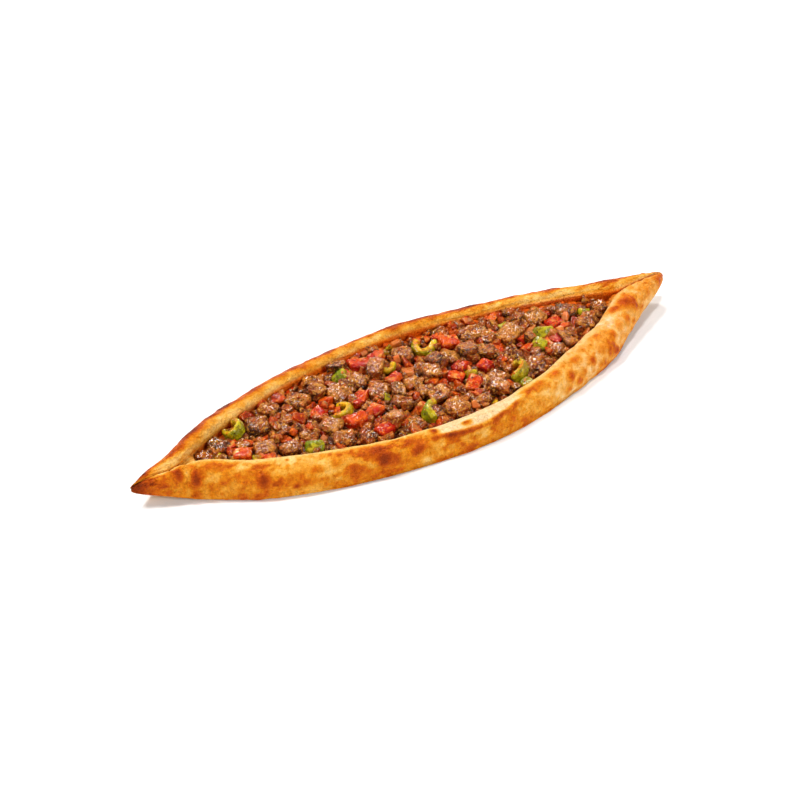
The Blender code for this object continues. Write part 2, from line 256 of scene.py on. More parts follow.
def random_block(dice, half, cuts, sharpness=9, unevenness=0.22, tilt=0.3):
    """A knife-cut chunk with uneven faces, turned at random about Z; half is its half sizes."""
    half = np.asarray(half)
    normals, reach = [], []
    for axis in range(3):
        for sign in (-1, 1):
            normal = np.array([dice.uniform(-unevenness, unevenness) for _ in range(3)])
            normal[axis] = sign
            normals.append(normal / np.linalg.norm(normal))
            reach.append(half[axis] * dice.uniform(0.85, 1.1))
    for _ in range(4):
        normal = np.array([dice.choice((-1, 1)) * dice.uniform(0.5, 1) for _ in range(3)])
        normals.append(normal / np.linalg.norm(normal))
        reach.append(np.linalg.norm(half) * dice.uniform(0.68, 0.85))
    points, quads, uv = rounded_block(np.array(normals), np.array(reach), half, cuts, sharpness)
    return points @ random_turn(dice, tilt).T, quads, uv


def node_block(name, cuts, sharpness, swell):
    """A block with the faces of a CAD node and the size of its box, times swell."""
    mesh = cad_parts[name].data
    low, high = box_of(name)
    centre = (low + high) / 2
    normals, reach = [], []
    largest = max(face.area for face in mesh.polygons)
    for face in mesh.polygons:
        normal = np.array(face.normal)
        distance = normal @ (np.array(mesh.vertices[face.vertices[0]].co) - centre)
        if all(normal @ n < 0.985 for n in normals):
            normals.append(normal)
            reach.append(distance * (1.06 if face.area < 0.3 * largest else 1))
    half = (high - low) / 2
    points, quads, uv = rounded_block(np.array(normals), np.array(reach), half, cuts, sharpness)
    size = points.max(axis=0) - points.min(axis=0)
    points = (points - (points.max(axis=0) + points.min(axis=0)) / 2) * (2 * half / size) * swell
    return points + centre, quads, uv


class Heap:
    """Many small solids that become one joined piece."""

    def __init__(self):
        self.solids = []

    def add(self, points, quads, uv, **attributes):
        self.solids.append((points, quads, uv, attributes))

    def make(self, name, material, slot):
        side = math.ceil(math.sqrt(len(self.solids)))
        points, quads, uvs, start = [], [], [], 0
        for index, (p, q, uv, _) in enumerate(self.solids):
            points.append(p)
            quads.append(q + start)
            uvs.append((np.array([index % side, index // side]) + 0.02 + 0.96 * uv) / side)
            start += len(p)
        keys = self.solids[0][3]
        attributes = {key: np.concatenate([solid[3][key] for solid in self.solids]) for key in keys}
        return make_piece(name, np.concatenate(points), [np.concatenate(quads)], material,
                          np.concatenate(uvs), attributes, slot)


# ---- Materials ----


class Shader:
    """Short calls for building a material's nodes."""

    def __init__(self, name, **settings):
        self.material = bpy.data.materials.new(name)
        self.material.use_nodes = True
        self.tree = self.material.node_tree
        self.surface = self.tree.nodes["Principled BSDF"]
        self.surface.inputs["Specular Tint"].default_value = (1.0, 0.72, 0.45, 1)
        for key, value in settings.items():
            self.surface.inputs[key.replace("_", " ")].default_value = value
        self.place = self.add("ShaderNodeTexCoord", "Object", {})

    def add(self, kind, output, inputs, **settings):
        """A node with its settings and inputs; gives one of its outputs."""
        node = self.tree.nodes.new(kind)
        for key, value in settings.items():
            setattr(node, key, value)
        for key, value in inputs.items():
            self.feed(node.inputs[key], value)
        return node.outputs[output]

    def feed(self, socket, value):
        if isinstance(value, bpy.types.NodeSocket):
            self.tree.links.new(value, socket)
        elif socket.type == "RGBA":
            socket.default_value = (*value, 1)
        else:
            socket.default_value = value

    def noise(self, size, detail=3.0, rough=0.55):
        return self.add("ShaderNodeTexNoise", "Fac", {"Vector": self.place, "Scale": 1 / size,
                                                      "Detail": detail, "Roughness": rough})

    def cells(self, size):
        """Distance to the nearest of scattered points."""
        return self.add("ShaderNodeTexVoronoi", "Distance", {"Vector": self.place, "Scale": 1 / size})

    def ramp(self, value, low, high, bottom=0.0, top=1.0):
        """Smooth step of a value from low to high, onto bottom to top."""
        return self.add("ShaderNodeMapRange", "Result",
                        {"Value": value, "From Min": low, "From Max": high, "To Min": bottom,
                         "To Max": top}, interpolation_type="SMOOTHSTEP")

    def patches(self, size, detail, rough, low, high, amount=1.0):
        """Soft-edged patches of noise, from nothing up to amount."""
        return self.ramp(self.noise(size, detail, rough), low, high, 0, amount)

    def shade(self, colour, by, *patches):
        """Multiply the colour in patches."""
        return self.blend(self.patches(*patches), colour, by, "MULTIPLY")

    def stain(self, colour, over, *patches):
        """Lay another colour over it in patches."""
        return self.blend(self.patches(*patches), colour, over)

    def math(self, operation, first, second):
        return self.add("ShaderNodeMath", 0, {0: first, 1: second}, operation=operation)

    def attribute(self, name, output="Color"):
        return self.add("ShaderNodeAttribute", output, {}, attribute_name=name)

    def blend(self, fac, first, second, kind="MIX"):
        return self.add("ShaderNodeMix", 2, {"Factor": fac, 6: first, 7: second},
                        data_type="RGBA", blend_type=kind)

    def bump(self, height, distance, strength=1.0):
        return self.add("ShaderNodeBump", "Normal",
                        {"Height": height, "Distance": distance, "Strength": strength})

    def film(self):
        """A thin wet film over the surface, which breaks the lights into small glints."""
        self.feed(self.surface.inputs["Coat Normal"], self.bump(self.noise(0.0020, 2), 0.0005))

    def finish(self, colour, roughness, normal):
        for key, value in (("Base Color", colour), ("Roughness", roughness), ("Normal", normal)):
            self.feed(self.surface.inputs[key], value)
        return self.material


def crust_material():
    s = Shader("baked_dough", Specular_IOR_Level=0.14, Subsurface_Weight=0.06,
               Subsurface_Scale=0.002, Subsurface_Radius=(1.0, 0.45, 0.15))
    colour = s.shade(s.attribute("tint"), (0.80, 0.62, 0.40), 0.0034, 5, 0.68, 0.40, 0.62, 0.5)
    colour = s.shade(colour, (1.22, 1.28, 1.35), 0.0024, 4, 0.6, 0.54, 0.66, 0.7)
    colour = s.shade(colour, (0.66, 0.56, 0.46), 0.0015, 2, 0.5, 0.58, 0.68, 0.35)
    colour = s.shade(colour, (0.84, 0.80, 0.74), 0.0011, 2, 0.5, 0.50, 0.60, 0.4)
    height = s.math("ADD", s.noise(0.0030, 4, 0.6), s.noise(0.0014, 2))
    shine = s.math("MULTIPLY", s.attribute("oil", "Fac"), 0.15)
    rough = s.math("SUBTRACT", s.ramp(s.noise(0.0045, 3, 0.6), 0.42, 0.60, 0.50, 0.64), shine)
    return s.finish(colour, rough, s.bump(height, 0.0028, 0.9))


def core_material():
    s = Shader("oily_filling", Specular_IOR_Level=0.25, Coat_Weight=0.45, Coat_Roughness=0.10)
    s.film()
    colour = s.shade(s.attribute("tint"), (0.46, 0.36, 0.28), 0.0020, 3, 0.6, 0.38, 0.62, 0.6)
    height = s.noise(0.0016, 4, 0.65)
    return s.finish(colour, s.ramp(s.noise(0.003, 3), 0.3, 0.7, 0.2, 0.4), s.bump(height, 0.0010, 0.9))


def meat_material():
    s = Shader("cooked_meat", Specular_IOR_Level=0.25, Coat_Weight=0.7, Coat_Roughness=0.05)
    s.film()
    colour = s.shade(s.attribute("tint"), (0.48, 0.37, 0.28), 0.0032, 4, 0.6, 0.40, 0.60, 0.6)
    colour = s.stain(colour, rgb(206, 84, 12), 0.0050, 3, 0.6, 0.53, 0.64, 0.45)
    colour = s.shade(colour, (0.55, 0.44, 0.34), 0.0015, 2, 0.5, 0.50, 0.58, 0.45)
    colour = s.stain(colour, rgb(232, 158, 54), 0.0021, 3, 0.6, 0.53, 0.62, 0.6)
    spice = s.math("MULTIPLY", s.ramp(s.cells(0.0044), 0.09, 0.14, 0.7, 0),
                   s.ramp(s.noise(0.006, 2), 0.48, 0.6))
    colour = s.blend(spice, colour, rgb(46, 24, 8))
    height = s.math("ADD", s.noise(0.0028, 4, 0.62), s.math("MULTIPLY", s.cells(0.0020), 0.4))
    rough = s.ramp(s.noise(0.0036, 3), 0.40, 0.60, 0.18, 0.46)
    return s.finish(colour, rough, s.bump(height, 0.0030, 1.0))


def tomato_material():
    s = Shader("baked_tomato", Specular_IOR_Level=0.12, Coat_Weight=0.32, Coat_Roughness=0.05,
               Subsurface_Weight=0.08, Subsurface_Scale=0.0012, Subsurface_Radius=(1.0, 0.22, 0.08))
    s.film()
    colour = s.shade(s.attribute("tint"), (0.72, 0.42, 0.30), 0.0028, 4, 0.6, 0.42, 0.62, 0.5)
    colour = s.stain(colour, rgb(238, 122, 20), 0.0019, 3, 0.6, 0.55, 0.63, 0.6)
    colour = s.blend(s.ramp(s.cells(0.0050), 0.08, 0.12, 0.7, 0), colour, rgb(56, 32, 8))
    height = s.noise(0.0022, 4, 0.6)
    return s.finish(colour, s.ramp(s.noise(0.003, 2), 0.3, 0.7, 0.16, 0.4),
                    s.bump(height, 0.0013, 0.9))


def pepper_material():
    s = Shader("baked_pepper", Specular_IOR_Level=0.15, Coat_Weight=0.6, Coat_Roughness=0.06,
               Subsurface_Weight=0.15, Subsurface_Scale=0.0015, Subsurface_Radius=(0.8, 1.0, 0.15))
    s.film()
    colour = s.shade(s.attribute("tint"), (0.62, 0.56, 0.22), 0.0028, 4, 0.6, 0.42, 0.60, 0.65)
    colour = s.shade(colour, (0.55, 0.50, 0.30), 0.0018, 2, 0.5, 0.52, 0.62, 0.35)
    colour = s.stain(colour, rgb(222, 206, 30), 0.0038, 3, 0.5, 0.48, 0.60, 0.5)
    height = s.noise(0.0022, 3, 0.5)
    return s.finish(colour, s.ramp(s.noise(0.003, 2), 0.3, 0.7, 0.14, 0.34),
                    s.bump(height, 0.0016, 0.9))


def onion_material():
    s = Shader("soft_onion", Specular_IOR_Level=0.35, Coat_Weight=0.2, Coat_Roughness=0.12,
               Subsurface_Weight=0.2, Subsurface_Scale=0.0015, Subsurface_Radius=(1.0, 0.6, 0.25))
    colour = s.stain(s.attribute("tint"), rgb(190, 88, 22), 0.002, 3, 0.6, 0.4, 0.7, 0.7)
    return s.finish(colour, s.ramp(s.noise(0.002, 2), 0.3, 0.7, 0.2, 0.45),
                    s.bump(s.noise(0.001, 3), 0.0005, 0.8))


def herb_material():
    s = Shader("herb_flakes", Specular_IOR_Level=0.3)
    colour = s.blend(s.ramp(s.noise(0.002, 2), 0.4, 0.6), rgb(40, 36, 10), rgb(96, 76, 18))
    return s.finish(colour, s.ramp(s.noise(0.001, 2), 0.3, 0.7, 0.45, 0.7),
                    s.bump(s.noise(0.0006, 2), 0.0002, 0.6))


# ---- The dough boat. u runs from -1 at the pointed tip to +1 at the blunt tip ----

LENGTH = CRUST_HIGH[0] - CRUST_LOW[0]
HALF_WIDTH = 0.065
FRONT_SKEW = 0.004
BACK_SKEW = -0.006
BEND = 0.007
TIP_HALF_WIDTH = (0.003, 0.004)
TIP_POWER = (10, 14)
PINCH = (0.0035, 0.0040)
PINCH_START = 0.66
FRONT_RIM_WIDTH = (0.0225, 0.018, 0.0235)
BACK_RIM_WIDTH = (0.018, 0.0155, 0.0185)
RIM_HEIGHT = (0.0205, 0.0185, 0.0185)
TIP_HEIGHT = (0.0125, 0.014)
TIP_LIFT = (0.0075, 0.0085)
LIFT_START = (0.77, 0.55)
LIFT_SPAN = (0.20, 0.45)
TOP_RISE_START = 0.55
FLOOR = 0.0045
CREASE = 0.0012
CREASE_DEPTH = 0.0015
OPENING_RAMP = 0.0045
RIM_SECTION = (
    (0.10, 0.00), (0.02, 0.08), (0.00, 0.22), (0.03, 0.42), (0.12, 0.66), (0.27, 0.85),
    (0.48, 0.97), (0.68, 1.00), (0.86, 0.95), (0.97, 0.85), (1.00, 0.74),
)
INNER_SECTION = ((0.05, 0.62), (0.06, 0.25), (-0.02, 0.0))
FLAT_STEPS = 4
FOLD_MIDDLE = 0.07
FOLD_HALF_LENGTH = 0.19
FOLD_RIDGE = 0.48

RIM_POINTS = len(RIM_SECTION) + len(INNER_SECTION)
LIP_BAND = len(RIM_SECTION) - 1     # band counts section points from the front foot


def by_end(pair, u):
    return np.where(u < 0, pair[0], pair[1])


def along(triple, u):
    end = np.where(u < 0, triple[0], triple[2])
    return triple[1] + (end - triple[1]) * ease((np.abs(u) - 0.15) / 0.5)


def middle_y(u):
    return -BEND * (1 - u * u)


def outer_half_width(u, back):
    a = np.abs(u)
    tip = by_end(TIP_HALF_WIDTH, u)
    width = (HALF_WIDTH - tip) * (1 - a * a)
    width = width + tip * np.sqrt(np.clip(1 - a ** by_end(TIP_POWER, u), 0, 1))
    pinch = np.sin(math.pi * np.clip((a - PINCH_START) / (1 - PINCH_START), 0, 1))
    wave = 0.0007 * np.sin(9.0 * u + (1.3 if back else 0.2)) * (1 - a)
    skew = BACK_SKEW if back else FRONT_SKEW
    return width - by_end(PINCH, u) * pinch + skew * u * (1 - u * u) + wave


def inner_half_width(u, back):
    outer = outer_half_width(u, back)
    space = outer - along(BACK_RIM_WIDTH if back else FRONT_RIM_WIDTH, u)
    opening = 0.5 * (space + np.sqrt(space * space + 4 * CREASE * CREASE))
    return np.where(space < 0, np.minimum(np.maximum(opening, 0.0004), 0.3 * outer), opening)


def rim_height(u):
    body = along(RIM_HEIGHT, u) + 0.0005 * np.sin(14.0 * u + 0.6)
    rise = by_end(TIP_LIFT, u) * ease((np.abs(u) - TOP_RISE_START) / (1 - TOP_RISE_START))
    body = body + (by_end(TIP_HEIGHT, u) - body) * ease((np.abs(u) - 0.72) / 0.28)
    return body + rise - lift(u)


def lift(u):
    return by_end(TIP_LIFT, u) * ease((np.abs(u) - by_end(LIFT_START, u)) / by_end(LIFT_SPAN, u))


def floor_height(u):
    space = np.minimum(inner_half_width(u, False), inner_half_width(u, True)) - CREASE
    seam = 0.74 * rim_height(u) - CREASE_DEPTH
    return lift(u) + seam + (FLOOR - seam) * ease(space / OPENING_RAMP)


def fold_amount(u):
    return ease(2 * (1 - np.abs(u - FOLD_MIDDLE) / FOLD_HALF_LENGTH))


def crust_sections(u):
    """Section points for every u: array (stations, points, 2) of y and z."""
    height, base, floor = rim_height(u), lift(u), floor_height(u)
    sides = []
    for back in (False, True):
        outer, inner = outer_half_width(u, back), inner_half_width(u, back)
        width = outer - inner
        side = 1 if back else -1
        rim = []
        for t, z in RIM_SECTION:
            rise = np.full_like(u, z)
            if not back and t >= FOLD_RIDGE:
                slope = 1 + (RIM_SECTION[-1][1] - 1) * (t - FOLD_RIDGE) / (1 - FOLD_RIDGE)
                rise = z + (slope - z) * fold_amount(u)
            rim.append((outer - width * t, base + height * rise))
        lip = rim[-1][1]
        openness = ease((inner - CREASE) / OPENING_RAMP)
        for undercut, z in INNER_SECTION:
            rim.append((inner + undercut * width * openness, floor + (lip - floor) * z))
        sides.append([np.stack([middle_y(u) + side * y, z], axis=1) for y, z in rim])
    front, rear = sides
    parts = [part / FLAT_STEPS for part in range(1, FLAT_STEPS)]
    inside = [front[-1] * (1 - t) + rear[-1] * t for t in parts]
    underside = [rear[0] * (1 - t) + front[0] * t for t in parts]
    section = np.stack(front + inside + rear[::-1] + underside, axis=1)
    centre = (base + 0.45 * height)[:, None]
    round_off = np.sqrt(np.clip(1 - np.abs(u) ** 24, 0, 1))[:, None]
    section[..., 1] = centre + (section[..., 1] - centre) * round_off
    return section


def refine(section, samples):
    """Smooth curve through closed sections; samples is how many steps each span takes."""
    count = section.shape[1]
    pieces, bands = [], []
    for i in range(count):
        before, here, there, after = (section[:, (i + k) % count] for k in (-1, 0, 1, 2))
        for part in range(samples[i]):
            t = part / samples[i]
            pieces.append(0.5 * (2 * here + (there - before) * t
                                 + (2 * before - 5 * here + 4 * there - after) * t * t
                                 + (3 * here - before - 3 * there + after) * t ** 3))
            bands.append(i + t)
    return np.stack(pieces, axis=1), np.array(bands)


STATIONS = 560
RIM_SAMPLES = 6
INNER_SAMPLES = 4
FLAT_SAMPLES = 3


def crust_grid():
    """High-resolution grid of the dough: points (stations, around, 3), u, and band around."""
    t = np.linspace(-1, 1, STATIONS + 2)[1:-1]
    u = 0.75 * t + 0.25 * np.sin(t * math.pi / 2)
    samples = [RIM_SAMPLES] * LIP_BAND + [INNER_SAMPLES] * len(INNER_SECTION)
    samples = samples + [FLAT_SAMPLES] * FLAT_STEPS + samples[::-1] + [FLAT_SAMPLES] * FLAT_STEPS
    section, band = refine(crust_sections(u), samples)
    x = np.broadcast_to((u * LENGTH / 2)[:, None, None], section.shape[:2] + (1,))
    return np.concatenate([x, section], axis=2), u, band


def grid_normals(grid):
    """Outward normals of a grid that closes round its second direction."""
    along_u = np.gradient(grid, axis=0)
    around = np.roll(grid, -1, axis=1) - np.roll(grid, 1, axis=1)
    normal = np.cross(along_u, around)
    return normal / np.maximum(np.linalg.norm(normal, axis=2, keepdims=True), 1e-12)


def side_and_band(band):
    """Whether a section point is on the back rim, and its band mirrored to count from a foot."""
    total = 2 * RIM_POINTS + 2 * FLAT_STEPS - 2
    last = total - FLAT_STEPS
    is_back = (band > last / 2) & (band <= last)
    mirrored = np.where(is_back, last - band, band)
    return is_back, np.where(band > last, -(np.minimum(band - last, total - band)), mirrored)


def boat_shift():
    """How far the boat's own middle line is moved to fit the frame."""
    y = crust_sections(np.linspace(-0.99, 0.99, 397))[..., 0]
    return 0.5 * (CRUST_LOW[1] + CRUST_HIGH[1] - y.min() - y.max())


BOAT_SHIFT = boat_shift()
SKIN_ROWS = 2       # strips that the layout of a long skin is cut into


def closed_skin(n, m, rows):
    """Faces and layout of a grid of n rings of m points with a pole added at each end.

    The layout cuts the length into rows, one over the other.
    """
    i = np.repeat(np.arange(n - 1), m)[:, None] + np.array([0, 1, 1, 0])
    j = np.tile(np.arange(m), n - 1)[:, None] + np.array([0, 0, 1, 1])
    quads = i * m + j % m
    around = np.arange(m)
    after = (around + 1) % m
    first = np.stack([np.full(m, n * m), around, after], axis=1)
    last = np.stack([np.full(m, n * m + 1), (n - 1) * m + after, (n - 1) * m + around], axis=1)
    share = (n - 1) / rows
    row = np.minimum(i[:, :1] // math.ceil(share), rows - 1)
    t = (i - row * math.ceil(share)) / math.ceil(share)
    uv = np.stack([0.02 + 0.96 * t, (row + 0.01 + 0.98 * j / m) / rows], axis=2).reshape(-1, 2)
    fan = np.stack([around + 0.5, around, around + 1], axis=1)
    low = np.stack([np.array([0.004, 0.016, 0.016]) + 0 * fan, (0.01 + 0.98 * fan / m) / rows], axis=2)
    fan = np.stack([around + 0.5, around + 1, around], axis=1)
    high = np.stack([np.array([0.996, 0.984, 0.984]) + 0 * fan,
                     (rows - 0.99 + 0.98 * fan / m) / rows], axis=2)
    return [quads, first, last], np.concatenate([uv, low.reshape(-1, 2), high.reshape(-1, 2)])


# Browned spots and blisters: x in mm, band on the rim (0 foot, 10 lip), length along the rim and
# height across it in mm, how brown from 0 to 1, how far it is raised in mm.
FRONT_SPOTS = (
    (-206, 3.5, 6, 12, 0.85, 0.0), (-196, 1.6, 8, 6, 0.35, 0.2), (-191, 3.7, 9, 4, 0.4, 0.2),
    (-181, 5.3, 4.5, 9, 0.9, 0.3), (-172, 4.4, 5, 10, 1.0, 0.3), (-173, 2.2, 5, 6, 0.45, 0.2),
    (-178, 7.2, 9, 5, 0.3, 0.2), (-165, 5.6, 9, 4, 0.35, 0.2), (-158, 3.8, 7, 4, 0.35, 0.2),
    (-138, 5.8, 7, 3, 0.4, 0.2), (-135, 4.2, 6, 5.5, 0.85, 0.5), (-125, 4.2, 6, 4, 0.3, 0.2),
    (-117, 3.0, 4, 2.8, 0.9, 0.4), (-116, 6.8, 1.8, 1.8, 0.8, 0.2), (-102, 4.7, 6, 3.5, 0.5, 0.4),
    (-108, 3.4, 5, 3, 0.25, 0.2), (-90, 5.0, 4.5, 3.5, 0.4, 0.4), (-90, 6.6, 2, 1.6, 0.6, 0.2),
    (-96, 2.2, 8, 3, 0.2, 0.1), (-81, 4.2, 4, 3, 0.3, 0.3), (-60, 4.3, 7, 6, 1.0, 0.7),
    (-64, 5.6, 9, 5, 0.55, 0.3), (-54, 3.6, 8, 5, 0.45, 0.3), (-50, 1.8, 7, 3, 0.4, 0.2),
    (-47, 6.8, 9, 2, 0.45, 0.3), (-36, 4.4, 7, 4, 0.75, 0.5), (-42, 5.6, 9, 3, 0.4, 0.3),
    (-28, 3.2, 6, 3, 0.35, 0.2), (-22, 5.2, 5, 4, 0.5, 0.3), (-19, 6.8, 3.5, 3, 0.9, 0.3),
    (-13, 3.8, 6, 3, 0.35, 0.2), (2, 1.8, 8, 3, 0.3, 0.2), (12, 4.4, 12, 2, 0.3, 0.2),
    (27, 5.3, 5, 3.5, 0.75, 0.4), (40, 5.8, 7, 4, 0.5, 0.4), (35, 3.7, 7, 3.5, 0.3, 0.3),
    (52, 6.9, 8, 4, 0.35, 0.2), (44, 2.8, 6, 4, 0.4, 0.3), (58, 3.9, 5, 4, 0.3, 0.3),
    (66, 6.3, 6, 4, 0.4, 0.3), (80, 6.2, 6, 4, 0.7, 0.5), (91, 4.4, 5, 6, 0.8, 0.7),
    (97, 3.0, 5, 4, 0.75, 0.5), (99, 5.8, 6, 4, 0.5, 0.4), (104, 3.6, 4, 4, 0.5, 0.4),
    (113, 4.2, 5.5, 5, 0.85, 0.8), (124, 4.8, 5, 5, 0.35, 0.6), (126, 6.4, 6, 4, 0.5, 0.4),
    (139, 5.0, 4.5, 6, 0.6, 0.7), (138, 2.9, 5, 4, 0.85, 0.5), (147, 5.2, 4.5, 6, 0.55, 0.7),
    (148, 3.4, 4, 4, 0.4, 0.5), (152, 7.2, 10, 5, 0.95, 0.4), (161, 6.3, 8, 6, 0.8, 0.5),
    (157, 4.4, 4, 5, 0.4, 0.5), (168, 5.3, 5, 6, 0.5, 0.4), (120, 2.6, 4, 3, 0.5, 0.4),
    (87, 2.8, 4, 3, 0.6, 0.4), (75, 4.5, 5, 4, 0.3, 0.4), (133, 7.6, 6, 3, 0.4, 0.2),
    (176, 3.2, 5, 5, 0.35, 0.4), (187, 4.5, 8, 7, 0.35, 0.3), (204, 4.0, 9, 9, 0.55, 0.1),
)
BACK_SPOTS = (
    (-206, 5.0, 9, 12, 0.9, 0.0), (-190, 5.5, 14, 5, 0.6, 0.2), (-172, 6.2, 13, 4, 0.75, 0.2),
    (-153, 6.4, 14, 3.5, 0.85, 0.3), (-132, 6.2, 12, 3, 0.6, 0.3), (-112, 6.4, 10, 3, 0.5, 0.3),
    (-95, 7.0, 9, 3, 0.45, 0.2), (-76, 6.6, 9, 3, 0.5, 0.3), (-58, 7.4, 8, 3, 0.45, 0.2),
    (-40, 7.0, 8, 3, 0.45, 0.2), (-20, 7.2, 8, 3, 0.55, 0.3), (-2, 6.7, 5, 3, 0.8, 0.5),
    (14, 7.4, 9, 3, 0.45, 0.2), (30, 6.8, 6, 3, 0.6, 0.3), (46, 7.2, 8, 3, 0.5, 0.2),
    (66, 7.0, 8, 3, 0.4, 0.2), (88, 6.4, 5, 4, 1.0, 0.5), (104, 7.4, 10, 3, 0.4, 0.2),
    (126, 7.0, 8, 3, 0.4, 0.2), (148, 7.4, 8, 3, 0.5, 0.3), (168, 6.6, 8, 4, 0.65, 0.3),
    (182, 7.6, 8, 3, 0.5, 0.2), (-60, 4.0, 10, 6, 0.4, 0.4), (20, 3.6, 12, 6, 0.45, 0.5),
    (110, 4.0, 10, 5, 0.4, 0.4), (-130, 3.5, 9, 5, 0.4, 0.4), (60, 4.6, 7, 4, 0.4, 0.4),
)
# Colour of the dough as it bakes, from 0 (pale) to 1 (dark), and the colours that oil and flour give.
BAKE_STEPS = (0.0, 0.16, 0.34, 0.50, 0.64, 0.80, 1.0)
BAKE_COLOURS = (rgb(255, 231, 180), rgb(252, 206, 122), rgb(243, 172, 62), rgb(229, 138, 18),
                rgb(208, 98, 6), rgb(172, 64, 4), rgb(100, 32, 6))
GREASY = rgb(255, 112, 10)
FLOURY = rgb(222, 172, 104)
UNDERSIDE_BAKED = [0.72]
# One scorched blister on the face of the folded lip: x in mm and band.
FOLD_SPOT = (2, 5.9)


def baked(amount):
    """The dough's colour for each amount of baking."""
    colours = np.array(BAKE_COLOURS)
    return np.stack([np.interp(amount, BAKE_STEPS, colours[:, k]) for k in range(3)], axis=1)


# Small spots strewn between them: how many, how x is drawn, and the spans of the other values.
FRONT_STREWN = (
    (70, ("triangular", 60, 205, 130), ((1.6, 8.4), (1.6, 3.6), (1.5, 3.2), (0.1, 0.5),
                                        (0.15, 0.45))),
    (60, ("uniform", -200, 60), ((1.0, 8.8), (1.2, 3.4), (1.2, 2.8), (0.1, 0.45), (0.05, 0.3))),
)
BACK_STREWN = (
    (90, ("uniform", -200, 200), ((1.0, 9.2), (1.2, 3.6), (1.2, 2.8), (0.1, 0.45), (0.05, 0.35))),
)
BACK_SPOT_STRENGTH = 0.74


def strewn(spots, strews, dice):
    """The placed spots with the small random ones added."""
    spots = list(spots)
    for count, (draw, *span), spans in strews:
        for _ in range(count):
            x = getattr(dice, draw)(*span)
            spots.append((x, *(dice.uniform(*s) for s in spans)))
    return spots


def add_spots(spots, grid, u, columns, bands, wobble):
    """How brown, how pale round the rim of a spot, and how far raised every point is."""
    m = grid.shape[1]
    brown, halo, raised = np.zeros((3, len(u) * m))
    for x, band, length, height, strength, rise in spots:
        i = int(np.argmin(np.abs(u * LENGTH / 2 - x * MM)))
        j = columns[int(np.argmin(np.abs(bands - band)))]
        reach = 1.8 * length * MM
        near = np.flatnonzero(np.abs(u * LENGTH / 2 - x * MM) < reach)
        block = grid[near[0]:near[-1] + 1]
        away = block - grid[i, j]
        d = np.sqrt((away[..., 0] / (length * MM)) ** 2
                    + (away[..., 1] ** 2 + away[..., 2] ** 2) / (height * MM) ** 2).ravel()
        window = slice(near[0] * m, (near[-1] + 1) * m)
        ragged = d * (1 + 0.38 * wobble[window])
        brown[window] = np.maximum(brown[window], strength * (1 - ease((ragged - 0.1) / 1.0)))
        halo[window] = np.maximum(halo[window], strength * np.exp(-((ragged - 1.35) / 0.3) ** 2))
        raised[window] += rise * MM * np.clip(1 - (ragged / 1.1) ** 2, 0, 1) ** 1.5
    return [brown, halo, raised]


def groove(value, centre, width):
    return np.exp(-((value - centre) / width) ** 2)


